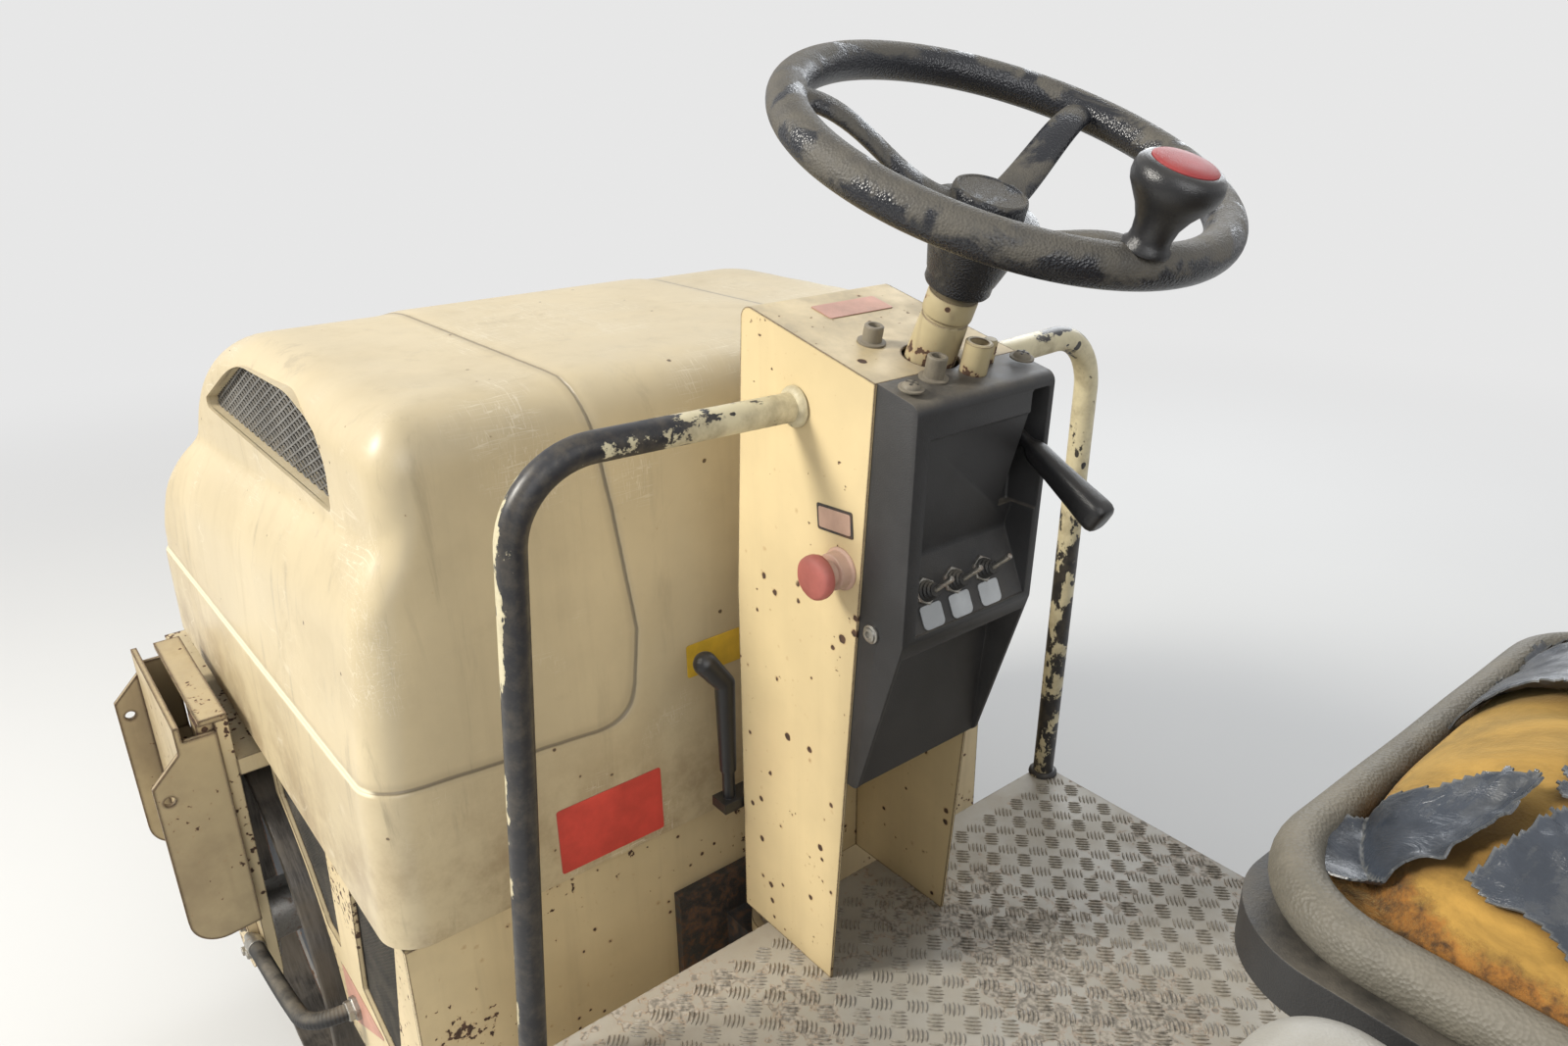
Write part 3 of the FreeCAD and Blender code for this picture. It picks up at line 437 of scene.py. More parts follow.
def step(value, low, high):
    """0 below low, 1 above high, and a smooth rise between them."""
    values = {"Value": value, "From Min": low, "From Max": high}
    return Node("MapRange", values, interpolation_type="SMOOTHSTEP")["Result"]


def noise(where, scale, detail=4.0, rough=0.55, distort=0.0):
    """Value of a noise texture."""
    return Node("TexNoise", {"Vector": where, "Scale": scale, "Detail": detail, "Roughness": rough,
                             "Distortion": distort})["Fac"]


def mixed(amount, a, b):
    """Colour between a and b."""
    return Node("Mix", {0: amount, 6: a, 7: b}, data_type="RGBA")[2]


def parts(vector):
    """X, Y and Z of a vector."""
    return Node("SeparateXYZ", {0: vector})


def stretched(where, scale):
    """Coordinates scaled along X, Y and Z."""
    return Node("Mapping", {"Vector": where, "Scale": scale})[0]


def rounded(radius):
    """Normals as if the edges were rounded to the radius."""
    return Node("Bevel", {"Radius": radius}, samples=4)[0]


def bump(height, distance, strength, normal=None):
    """Normals of a height, over other normals where they are given."""
    made = Node("Bump", {"Height": height, "Distance": distance, "Strength": strength})
    if normal is not None:
        made["Normal"] = normal
    return made[0]


def toned(colour, factor):
    """The colour made lighter or darker by a factor."""
    return tuple(min(1.0, c * factor) for c in colour)


def placed(group, values):
    """A shader group with its inputs linked or set."""
    return Node("Group", values, node_tree=group)


def new_group(name, inputs, outputs):
    """Empty shader group: Vector and the inputs, where None stands for a vector, and values as outputs."""
    begin_graph(bpy.data.node_groups.new(name, "ShaderNodeTree"))
    for label, value in {"Vector": None, **inputs}.items():
        kind = "Vector" if value is None else "Float"
        socket = graph.interface.new_socket(label, in_out="INPUT", socket_type="NodeSocket" + kind)
        if value is not None:
            socket.default_value = value
    for label in outputs:
        graph.interface.new_socket(label, in_out="OUTPUT", socket_type="NodeSocketFloat")
    return Node("NodeGroupInput"), Node("NodeGroupOutput")


def make_chips():
    """Paint chips and rust spots: small noise cut at a level that a wide noise moves about."""
    given, gives = new_group("chips", {"Scale": 90.0, "Amount": 0.3, "Patches": 5.0}, ["Mask", "Halo"])
    at = given["Vector"]
    fine = noise(at, given["Scale"], 3.0, 0.5)
    wide = noise(at, given["Patches"], 2.0, 0.5)
    lift = step(wide, 0.42, 0.66) * given["Amount"]
    level = fine + lift
    gives["Mask"] = step(level, 0.76, 0.78)
    gives["Halo"] = step(level, 0.7, 0.79)
    return graph


def make_wear():
    """Worn edges: how far the bevelled normal leaves the true one, broken up by noise."""
    given, gives = new_group("edge wear", {"Radius": 0.004, "Scale": 60.0, "Amount": 0.5}, ["Mask", "Edge"])
    at = given["Vector"]
    bevel = Node("Bevel", {"Radius": given["Radius"]}, samples=6)
    true = Node("NewGeometry")["True Normal"]
    dot = Node("VectorMath", {0: bevel[0], 1: true}, operation="DOT_PRODUCT")["Value"]
    edge = step(1.0 - dot, 0.01, 0.14)
    rough = noise(at, given["Scale"], 5.0, 0.62)
    worn = edge * (rough + given["Amount"] * 0.5)
    gives["Mask"] = step(worn, 0.5, 0.58)
    gives["Edge"] = edge
    return graph


def make_grime_and_shade():
    """Painted shade in corners by occlusion, and dirt in drifts by noise and in streaks that run down."""
    given, gives = new_group("grime", {"Reach": 0.06, "Drift": 0.5, "Streak": 0.4}, ["Mask"])
    at = given["Vector"]
    shut = Node("AmbientOcclusion", {"Distance": given["Reach"]}, samples=6)["AO"]
    # painted shade: darker where the occlusion finds corners and hollows
    corner = step(1.0 - shut, 0.15, 0.95)
    drift = step(noise(at, 4.0, 6.0, 0.65), 0.42, 0.72)
    thin = Node("Mapping", {"Vector": at, "Scale": (38.0, 38.0, 2.2)})
    streak = step(noise(thin[0], 1.0, 4.0, 0.6), 0.5, 0.75)
    dirt_and_shade = corner + drift * given["Drift"]
    dirt_and_shade = clamped(dirt_and_shade + streak * given["Streak"])
    gives["Mask"] = dirt_and_shade
    return graph


def make_dust():
    """Dust that settles where the surface faces up, thinner where noise is low."""
    given, gives = new_group("dust", {"Normal": None, "Scale": 14.0, "Amount": 0.6}, ["Mask"])
    at = given["Vector"]
    up = parts(given["Normal"])["Z"]
    lie = step(up, 0.2, 0.95)
    cloud = noise(at, given["Scale"], 7.0, 0.68)
    soft = step(cloud, 0.25, 0.75)
    gives["Mask"] = lie * soft * given["Amount"]
    return graph


def make_scratches():
    """Fine scratches: noise stretched along two slanted ways, cut to thin lines."""
    given, gives = new_group("scratches", {"Scale": 10.0, "Amount": 0.4}, ["Mask"])
    at = given["Vector"]
    lines = []
    for turn, stretch in ((0.5, (1.0, 26.0, 3.0)), (-0.9, (24.0, 1.0, 22.0))):
        lay = Node("Mapping",
                   {"Vector": at, "Rotation": (0.3, turn, turn * 1.7), "Scale": stretch})
        value = noise(lay[0], given["Scale"], 2.0, 0.4)
        away = abs(value - 0.5)
        lines.append(1.0 - step(away, 0.004, 0.016))
    where = step(noise(at, 7.0, 3.0, 0.6), 0.5, 0.66)
    both = larger(lines[0], lines[1])
    gives["Mask"] = both * where * given["Amount"]
    return graph


def make_spots():
    """Round rust spots: Voronoi cells, each with a disc of its own size, some cells left empty."""
    given, gives = new_group("spots", {"Scale": 60.0, "Amount": 0.3, "Size": 0.30}, ["Mask", "Halo"])
    at = given["Vector"]
    ragged = Node("TexNoise",
                  {"Vector": at, "Scale": 260.0, "Detail": 3.0})["Color"]
    shifted = Node("VectorMath", {0: ragged, 1: (0.0024, 0.0024, 0.0024), 2: at},
                   operation="MULTIPLY_ADD")[0]
    cell = Node("TexVoronoi", {"Vector": shifted, "Scale": given["Scale"]})
    lot = Node("SeparateColor", {0: cell["Color"]})
    size = lot[0] ** 2.2 * given["Size"]
    wide = step(noise(at, 6.0, 3.0, 0.6), 0.36, 0.66)
    share = (0.25 + wide * 1.5) * given["Amount"]
    there = step(share - lot[1], 0.0, 0.03)
    inside = size - cell["Distance"]
    gives["Mask"] = step(inside, 0.0, 0.03) * there
    gives["Halo"] = step(inside, -0.09, 0.02) * there
    return graph

CHIPS, WEAR, GRIME_AND_SHADE, DUST, SCRATCHES = make_chips(), make_wear(), make_grime_and_shade(), make_dust(), make_scratches()
SPOTS = make_spots()


def settled(coords, amount):
    """Mask of the dust that lies on a piece."""
    return placed(DUST, {"Vector": coords["Object"], "Normal": coords["Normal"], "Amount": amount})["Mask"]


def new_material(name, metallic=0.0, roughness=0.5, coat=0.0):
    """Material with one Principled shader; returns it, the shader and the coordinates."""
    made = bpy.data.materials.new(name)
    made.use_nodes = True
    begin_graph(made.node_tree)
    shader = Node("BsdfPrincipled", {"Metallic": metallic, "Roughness": roughness, "Coat Weight": coat})
    Node("OutputMaterial", {"Surface": shader[0]})
    return made, shader, Node("TexCoord")


RUST = (0.042, 0.022, 0.013)
# brown for grime and for the painted shade in corners
BROWN_DIRT_AND_SHADE = (0.150, 0.105, 0.062)
PALE_DUST = (0.36, 0.31, 0.23)


def painted(name, colour, chips=0.3, wear=0.5, grime=0.35, dust=0.4, rough=0.42, chip_scale=90.0,
            patches=5.0, under=RUST, wear_radius=0.004, streak=0.25, spots=0.2,
            spot_scale=60.0, low=None):
    """Old sprayed paint: tone drift, painted shade in corners, brown grime in drifts and streaks, dust on
    top, rust spots, chips and worn edges.

    Where low is given, the spots stand thicker below that height.
    """
    made, shader, coords = new_material(name)
    at = coords["Object"]
    tone = noise(at, 3.0, 5.0, 0.6)
    light = toned(colour, 1.08)
    dark = toned(colour, 0.88)
    base = mixed(step(tone, 0.3, 0.7), dark, light)
    # painted shade in corners from the occlusion in this mask, with brown grime in drifts and streaks; the
    # mask also roughens the paint
    dirt = placed(GRIME_AND_SHADE, {"Vector": at, "Drift": grime, "Streak": streak, "Reach": 0.05})["Mask"]
    base = mixed(dirt * 0.55, base, BROWN_DIRT_AND_SHADE)
    film = settled(coords, dust)
    base = mixed(film, base, PALE_DUST)
    chip = placed(CHIPS, {"Vector": at, "Scale": chip_scale, "Amount": chips, "Patches": patches})
    edge = placed(WEAR, {"Vector": at, "Radius": wear_radius, "Amount": wear, "Scale": chip_scale})
    amount = spots
    if low is not None:
        height = parts(at)["Z"]
        below = step(low - height, -0.1, 0.16)
        amount = (0.12 + below * 1.5) * spots
    dots = placed(SPOTS, {"Vector": at, "Scale": spot_scale, "Amount": amount})
    bare = larger(larger(chip["Mask"], dots["Mask"]), edge["Mask"])
    halo = larger(chip["Halo"], dots["Halo"]) * 0.4
    base = mixed(halo, base, (0.36, 0.18, 0.07))
    metal = mixed(step(noise(at, 180.0, 3.0), 0.35, 0.65), under, toned(under, 2.2))
    base = mixed(bare, base, metal)
    shader["Base Color"] = base
    gloss = rough + dirt * 0.28
    gloss = gloss + film * 0.35
    gloss = clamped(gloss + bare * 0.3)
    shader["Roughness"] = gloss
    height = noise(at, 260.0, 3.0) * 0.12 - bare
    start = rounded(0.0015)
    shader["Normal"] = bump(height, 0.0004, 0.8, start)
    return made


def rubbed_rail(name, colour):
    """Handrail paint: rubbed to dark steel far out on the left rail and low down, specked elsewhere."""
    made, shader, coords = new_material(name)
    at = coords["Object"]
    place = parts(at)
    side = step(place["Y"], 0.0, 0.01)
    far = step(abs(place["Y"]), 0.13, 0.27)
    low = step(1.1 - place["Z"], 0.0, 0.16)
    facing = parts(coords["Normal"])
    up = step(facing["Z"], 0.1, 0.8)
    outer = facing["X"] * 0.62 + facing["Y"] * 0.79
    lay = stretched(at, (1.0, 0.45, 0.45))
    level = noise(lay, 42.0, 7.0, 0.68)
    level = level + side * far * 0.2
    level = level + up * far * 0.1
    level = level + low * 0.16
    kept = side * far * step(outer, 0.35, 0.95)
    level = level - kept * 0.2
    bare = step(level, 0.6, 0.63)
    specks = placed(SPOTS, {"Vector": lay, "Scale": 130.0, "Amount": 0.55, "Size": 0.42})["Mask"]
    bare = larger(bare, specks)
    dirt = step(noise(at, 24.0, 6.0, 0.7), 0.4, 0.7)
    base = mixed(dirt * 0.55, colour, (0.2, 0.155, 0.09))
    metal = mixed(step(noise(at, 60.0, 5.0, 0.7), 0.4, 0.7), (0.02, 0.02, 0.023), (0.06, 0.052, 0.042))
    base = mixed(bare, base, metal)
    shader["Base Color"] = base
    shader["Roughness"] = 0.36 + dirt * 0.25
    shader["Normal"] = bump(1.0 - bare, 0.0003, 0.9)
    return made


def moulded(name, colour):
    """Gel-coated moulding: satin under brown dirt and painted corner shade, fine scratches, a dusty top and a
    stained foot.

    The seam round its raised panel comes from the mesh's own distances: a step in the bump, a painted shadow
    line with a soft painted shade beside it, and a pale painted highlight along the skirt's ledge on the
    sides.
    """
    made, shader, coords = new_material(name, roughness=0.36, coat=0.08)
    at = coords["Object"]
    shader["Coat Roughness"] = 0.35
    place = parts(at)
    tone = noise(at, 2.2, 6.0, 0.62)
    base = mixed(step(tone, 0.3, 0.72), toned(colour, 0.88),
                 toned(colour, 1.05))
    # painted shade in corners from the occlusion in this mask, with brown grime in drifts and streaks
    dirt = placed(GRIME_AND_SHADE, {"Vector": at, "Drift": 0.4, "Streak": 0.2, "Reach": 0.05})["Mask"]
    base = mixed(dirt * 0.5, base, (0.24, 0.185, 0.11))
    smear = step(noise(at, 7.0, 9.0, 0.74, 0.9), 0.54, 0.78)
    base = mixed(smear * 0.3, base, (0.22, 0.17, 0.105))
    trickle = stretched(at, (9.0, 9.0, 1.2))
    run = step(noise(trickle, 2.4, 8.0, 0.7, 0.5), 0.56, 0.7)
    corner = step(abs(place["Y"]), 0.28, 0.4)
    run = run * (0.25 + corner * 0.5)
    base = mixed(run * 0.6, base, (0.2, 0.165, 0.11))
    foot = step(0.9 - place["Z"], 0.0, 0.22)
    stain = foot * step(noise(at, 12.0, 6.0, 0.7), 0.36, 0.66)
    base = mixed(stain * 0.5, base, (0.2, 0.12, 0.055))
    film = settled(coords, 0.34)
    base = mixed(film, base, (0.52, 0.46, 0.34))
    lines = placed(SCRATCHES, {"Vector": at, "Scale": 9.0, "Amount": 0.45})["Mask"]
    base = mixed(lines, base, (0.78, 0.72, 0.58))
    away = Node("Attribute", attribute_name="seam_side")["Fac"]
    shown = Node("Attribute", attribute_name="seam_reach")["Fac"]
    wobble = (noise(at, 35.0, 4.0) - 0.5) * 0.0016
    away = away + wobble
    # painted shadow: a dark line just outside the seam's step, and a soft painted shade beside it
    line = step(abs(away + 0.0014), 0.0026, 0.0006)
    seam_shade = step(abs(away + 0.003), 0.01, 0.001)
    base = mixed(seam_shade * 0.28 * shown, base, (0.24, 0.19, 0.12))
    base = mixed(line * 0.7 * shown, base, (0.13, 0.105, 0.07))
    # painted highlight: a pale line along the skirt's ledge on the hood's sides
    flank = step(abs(place["Y"]), 0.425, 0.432)
    ledge_highlight = step(abs(away), 0.0042, 0.0022)
    base = mixed(ledge_highlight * flank * shown, base, (0.74, 0.66, 0.46))
    spots = placed(SPOTS, {"Vector": at, "Scale": 80.0, "Amount": 0.1, "Size": 0.2})
    base = mixed(spots["Halo"] * 0.35, base, (0.36, 0.22, 0.1))
    base = mixed(spots["Mask"], base, (0.11, 0.075, 0.045))
    shader["Base Color"] = base
    gloss = 0.34 + dirt * 0.25
    gloss = gloss + smear * 0.15
    gloss = clamped(gloss + film * 0.3)
    shader["Roughness"] = gloss
    height = noise(at, 14.0, 3.0) * 0.6 + lines * -0.2
    waves = bump(height, 0.0016, 0.3)
    ledge = step(away, -0.0016, 0.0012) * shown
    shader["Normal"] = bump(ledge, 0.0022, 1.0, waves)
    return made


def plastic(name, colour, rough=0.55, grain=900.0, dust=0.35, wear=0.0, worn=(0.2, 0.19, 0.17),
            depth=0.0002, shade=0.8, light=1.35):
    """Moulded plastic or vinyl with a fine grain, dust on top and paler rubbed patches."""
    made, shader, coords = new_material(name, roughness=rough)
    at = coords["Object"]
    tone = step(noise(at, 12.0, 5.0, 0.6), 0.3, 0.75)
    base = mixed(tone, toned(colour, shade), toned(colour, light))
    rub = step(noise(at, 30.0, 6.0, 0.7), 0.48, 0.66) * wear
    base = mixed(rub, base, worn)
    film = placed(DUST, {"Vector": at, "Normal": coords["Normal"], "Amount": dust, "Scale": 22.0})
    base = mixed(film["Mask"], base, (0.27, 0.235, 0.18))
    shader["Base Color"] = base
    gloss = clamped(rough + film["Mask"] * 0.4)
    shader["Roughness"] = gloss
    cells = Node("TexVoronoi", {"Vector": at, "Scale": grain})["Distance"]
    start = rounded(0.0012)
    shader["Normal"] = bump(cells, depth, 0.6, start)
    return made


def dusty_skin(name):
    """Grained black skin: glossy where hands rub it, under a film of dust with sharp borders elsewhere."""
    made, shader, coords = new_material(name)
    at = coords["Object"]
    up = parts(coords["Normal"])["Z"]
    level = noise(at, 15.0, 6.0, 0.62, 0.5) + up * 0.11
    film = step(level, 0.5, 0.59)
    film = film * (0.25 + noise(at, 70.0, 5.0) * 0.8)
    base = mixed(film, (0.013, 0.014, 0.018), (0.125, 0.113, 0.09))
    shader["Base Color"] = base
    shader["Roughness"] = 0.27 + film * 0.55
    cells = Node("TexVoronoi", {"Vector": at, "Scale": 560.0})["Distance"]
    start = rounded(0.0012)
    shader["Normal"] = bump(cells, 0.0006, 0.8, start)
    return made


def velvet_foam(name, colour):
    """Old foam with its velvety cover: mustard, with painted shade in its folds, crumbled to orange-brown at
    the foot.
    """
    made, shader, coords = new_material(name, roughness=0.95)
    at = coords["Object"]
    shader["Sheen Weight"] = 0.45
    shader["Sheen Roughness"] = 0.45
    shader["Sheen Tint"] = (0.95, 0.72, 0.3, 1.0)
    tone = step(noise(at, 16.0, 7.0, 0.7, 0.6), 0.32, 0.7)
    base = mixed(tone, toned(colour, 0.55), toned(colour, 1.25))
    # painted shade: the occlusion darkens the folds and creases toward brown
    fold_shade = Node("AmbientOcclusion", {"Distance": 0.05}, samples=8)["AO"]
    base = mixed(step(1.0 - fold_shade, 0.25, 0.8) * 0.8, base, (0.1, 0.045, 0.01))
    height = parts(at)["Z"]
    ragged = (noise(at, 60.0, 6.0, 0.7) - 0.5) * 0.03
    crumb = step(height + ragged - 1.112, 0.006, -0.004)
    grain = noise(at, 420.0, 3.0, 0.6)
    rot = mixed(step(noise(at, 90.0, 6.0, 0.75), 0.38, 0.66), (0.3, 0.125, 0.022), (0.06, 0.028, 0.012))
    base = mixed(crumb, base, rot)
    shader["Base Color"] = base
    rough = grain * 0.1 + noise(at, 120.0, 5.0, 0.8) * crumb
    shader["Normal"] = bump(rough, 0.005, 0.9)
    return made


def torn_vinyl(name, colour):
    """Brittle seat vinyl: blue-black and glossy in sheets, with dull dusty patches and pale cracked edges."""
    made, shader, coords = new_material(name, roughness=0.3)
    at = coords["Object"]
    tone = step(noise(at, 10.0, 6.0, 0.65, 0.5), 0.34, 0.66)
    base = mixed(tone, colour, toned(colour, 1.9))
    dull = step(noise(at, 13.0, 7.0, 0.7, 0.8), 0.5, 0.6)
    base = mixed(dull * 0.5, base, (0.07, 0.073, 0.074))
    bare = step(noise(at, 17.0, 5.0, 0.6, 1.2), 0.66, 0.68)
    base = mixed(bare, base, (0.3, 0.3, 0.27))
    edge = placed(WEAR, {"Vector": at, "Radius": 0.003, "Amount": 0.35, "Scale": 160.0})["Mask"]
    base = mixed(edge * 0.5, base, (0.2, 0.2, 0.185))
    shader["Base Color"] = base
    gloss = 0.2 + dull * 0.3
    shader["Roughness"] = gloss + bare * 0.2
    creases = stretched(at, (1.0, 2.6, 1.0))
    height = noise(creases, 34.0, 6.0, 0.7, 0.8) + noise(at, 500.0, 2.0) * 0.08
    shader["Normal"] = bump(height, 0.0024, 0.6)
    return made


def rolled_steel(name, colour=(0.06, 0.054, 0.048)):
    """Drum shell: dark steel, made darker still as painted shade, under brown dirt, scoured round the drum.
    """
    made, shader, coords = new_material(name, metallic=0.55, roughness=0.55)
    at = coords["Object"]
    lay = stretched(at, (5.0, 60.0, 5.0))
    scour = noise(lay, 4.0, 6.0, 0.7)
    # the default steel colour is partly painted shade: darker than the steel itself, for the shade on the
    # drum
    base = mixed(step(scour, 0.3, 0.7), toned(colour, 0.55), toned(colour, 1.5))
    mud = step(noise(at, 7.0, 8.0, 0.7), 0.4, 0.62)
    base = mixed(mud * 0.6, base, (0.1, 0.08, 0.056))
    shader["Base Color"] = base
    shader["Roughness"] = 0.42 + mud * 0.45
    shader["Metallic"] = clamped(0.75 - mud * 0.7)
    height = scour * 0.5 + noise(at, 70.0, 6.0) * 0.7
    shader["Normal"] = bump(height, 0.0012, 0.7)
    return made


def plain_metal(name, colour, rough=0.4, metallic=0.9, rust=0.3):
    """Small steel part with a thin bloom of rust and dirt."""
    made, shader, coords = new_material(name, metallic=metallic, roughness=rough)
    at = coords["Object"]
    bloom = step(noise(at, 70.0, 6.0, 0.7), 0.62 - rust * 0.4, 0.8 - rust * 0.3)
    fine = step(noise(at, 400.0, 3.0), 0.3, 0.7)
    base = mixed(fine, toned(colour, 0.8), colour)
    base = mixed(bloom * 0.85, base, (0.16, 0.085, 0.045))
    shader["Base Color"] = base
    shader["Roughness"] = clamped(rough + bloom * 0.4)
    shader["Metallic"] = metallic - bloom * (metallic * 0.8)
    start = rounded(0.0008)
    shader["Normal"] = bump(fine, 0.0001, 0.5, start)
    return made


CREAM = (0.62, 0.505, 0.30)
CREAM_HOOD = (0.60, 0.50, 0.315)

paint_body = painted("cream body paint", CREAM, chips=0.20, wear=0.42, grime=0.40, chip_scale=110.0,
                     spots=0.25)
paint_console = painted("cream console paint", (0.66, 0.53, 0.30), chips=0.06, wear=0.70, grime=0.16,
                        chip_scale=150.0, patches=9.0, streak=0.10, spots=0.55, spot_scale=62.0, low=1.02,
                        dust=0.85)
paint_box = painted("cream bracket paint", (0.47, 0.375, 0.215), chips=0.12, wear=0.95, grime=0.9,
                    chip_scale=120.0, spots=0.45, spot_scale=70.0, wear_radius=0.009)
paint_rail = rubbed_rail("rubbed rail paint", (0.60, 0.54, 0.36))
paint_column = painted("column paint", (0.50, 0.42, 0.24), chips=0.20, wear=0.3, grime=0.7, chip_scale=90.0,
                       patches=14.0, streak=0.9, spots=0.3, spot_scale=120.0)
paint_tread = painted("tread plate paint", (0.42, 0.40, 0.35), chips=0.30, wear=0.5, grime=0.5, dust=0.5,
                      under=(0.20, 0.18, 0.15), chip_scale=80.0)
end_paint = painted("drum end paint", (0.055, 0.068, 0.085), chips=0.2, wear=0.3, grime=0.7, dust=0.5,
                    spots=0.3, rough=0.5)
hood_coat = moulded("hood gel coat", CREAM_HOOD)
black_mould = plastic("black moulded cover", (0.024, 0.024, 0.025), rough=0.5, dust=0.45)
wheel_skin = dusty_skin("steering wheel skin")
dusty_steel = plastic("dusty steel", (0.20, 0.175, 0.13), rough=0.55, grain=700.0, dust=0.8, wear=0.4,
                      worn=(0.06, 0.05, 0.04))
worn_bar = painted("worn bar paint", (0.50, 0.41, 0.25), chips=0.95, wear=0.9, grime=0.8, chip_scale=45.0,
                   patches=4.0, spots=0.6, wear_radius=0.008)
knob_black = plastic("knob plastic", (0.012, 0.012, 0.013), rough=0.28, grain=1500.0, dust=0.10)
faded_red = plastic("faded red plastic", (0.46, 0.135, 0.110), rough=0.55, grain=1500.0, dust=0.25)
dark_red = plastic("knob cap", (0.25, 0.020, 0.022), rough=0.50, grain=1500.0, dust=0.15)
tank_grey = plastic("tank moulding", (0.36, 0.345, 0.305), rough=0.45, grain=700.0, dust=0.15, wear=0.15,
                    worn=(0.25, 0.235, 0.20), shade=0.94, light=1.06)
mesh_black = plastic("black grille", (0.018, 0.018, 0.018), rough=0.6, dust=0.5)
mesh_grey = plastic("grey grille", (0.155, 0.150, 0.140), rough=0.5, dust=0.4)
hose_black = plastic("hose rubber", (0.016, 0.016, 0.017), rough=0.6, dust=0.6)
tag_grey = plastic("switch tag", (0.42, 0.44, 0.45), rough=0.4, grain=1500.0, dust=0.1)
label_pink = plastic("blank label", (0.52, 0.27, 0.20), rough=0.5, grain=1500.0, dust=0.3)
label_cream = plastic("blank cream plate", (0.50, 0.33, 0.25), rough=0.5, grain=1500.0, dust=0.05)
label_yellow = plastic("blank yellow plate", (0.62, 0.40, 0.03), rough=0.5, grain=1500.0, dust=0.1)
label_red = plastic("blank red plate", (0.52, 0.055, 0.04), rough=0.45, grain=1500.0, dust=0.1)
drum_shell = rolled_steel("drum shell")
bare_steel = plain_metal("bare steel", (0.42, 0.40, 0.37))
dark_metal = plain_metal("dark steel", (0.060, 0.058, 0.056), rough=0.55, metallic=0.4, rust=0.45)
zinc = plain_metal("zinc fastener", (0.40, 0.385, 0.35), rough=0.38, rust=0.35)
cast_metal = plain_metal("engine casting", (0.10, 0.105, 0.11), rough=0.6, metallic=0.5)


# Record slots' materials on the model's own nodes

finishes = {
    "cream_paint": paint_body, "cream_moulding": hood_coat, "drum_steel": drum_shell,
    "machined_steel": bare_steel, "dark_steel": dark_metal, "black_plastic": black_mould,
    "grey_plastic": tank_grey, "red_plastic": faded_red, "tread_plate": paint_tread,
    "cast_grey": cast_metal, "hose_rubber": hose_black, "seat_vinyl": wheel_skin,
}
own_finish = {
    "console_pillar": paint_console, "column_tube": paint_column, "front_boxes": paint_box,
    "side_vents": mesh_black, "handrails": paint_rail, "wear_bars": worn_bar, "hand_lever": knob_black,
    "front_drum_ends": end_paint, "rear_drum_ends": end_paint,
}
slot_of = {row["node"]: row["material_slot"] for row in frame["record"]["subparts"]}
for name, obj in nodes.items():
    chosen = own_finish.get(name, finishes[slot_of[name]])
    obj.data.materials.clear()
    obj.data.materials.append(chosen)


# Steering wheel

wheel_centre = np.array([-0.280, 0.0, 1.420])
lean = math.radians(22.9)
steer = np.array([-math.sin(lean), 0.0, math.cos(lean)])
ahead = np.cross([0.0, 1.0, 0.0], steer)
left = np.array([0.0, 1.0, 0.0])
wheel_r = 0.180
rim_r = 0.014


def around_wheel(degrees):
    """Unit vector in the wheel's plane, turned from straight ahead towards the left."""
    a = math.radians(degrees)
    return ahead * math.cos(a) + left * math.sin(a)


def spoke(degrees):
    """Flat oval bar from the hub up to the rim: an ellipse carried along a gentle S."""
    out = around_wheel(degrees)
    across = np.cross(out, steer)
    t = np.linspace(0, 1, 24)[:, None]
    dip = 0.5 - 0.5 * np.cos(math.pi * np.clip(t * 1.12, 0, 1))
    path = wheel_centre + out * (0.024 + t * (wheel_r - rim_r - 0.024)) - steer * 0.047 * (1 - dip)
    wide = 0.0165 - 0.0045 * t
    thick = 0.0075 - 0.0005 * t
    a = np.linspace(0, 2 * math.pi, 20, endpoint=False)
    ring = wide[..., None] * np.cos(a)[None, :, None] * across + thick[..., None] * np.sin(a)[None, :,
                                                                                              None] * steer
    return grid(path[:, None] + ring, wrap_cols=True, cap_first=True, cap_last=True, flip=True)


hub_rows = [(0.0225, -0.1124), (0.0265, -0.1118), (0.0275, -0.1100), (0.0275, -0.1035), (0.0290, -0.1000),
            (0.036, -0.075), (0.043, -0.058), (0.0455, -0.054), (0.0455, -0.050), (0.043, -0.0465),
            (0.034, -0.0445), (0.0308, -0.0440), (0.0303, -0.0400), (0.0300, -0.0345), (0.0292, -0.0320),
            (0.0272, -0.0309), (0.0258, -0.0312), (0.0252, -0.0320), (0.0100, -0.0320), ]
piece("steering_wheel_skin", "steering", joined(
    torus(wheel_centre, steer, wheel_r - rim_r, rim_r + 0.0011, 224, 32),
    lathe(hub_rows, wheel_centre, steer, 64),
    spoke(-70), spoke(50), spoke(170),
    lathe([(0.010, -0.215), (0.010, -0.112)], wheel_centre, steer, 20)),
    wheel_skin, ["steering_wheel"], smooth=50)

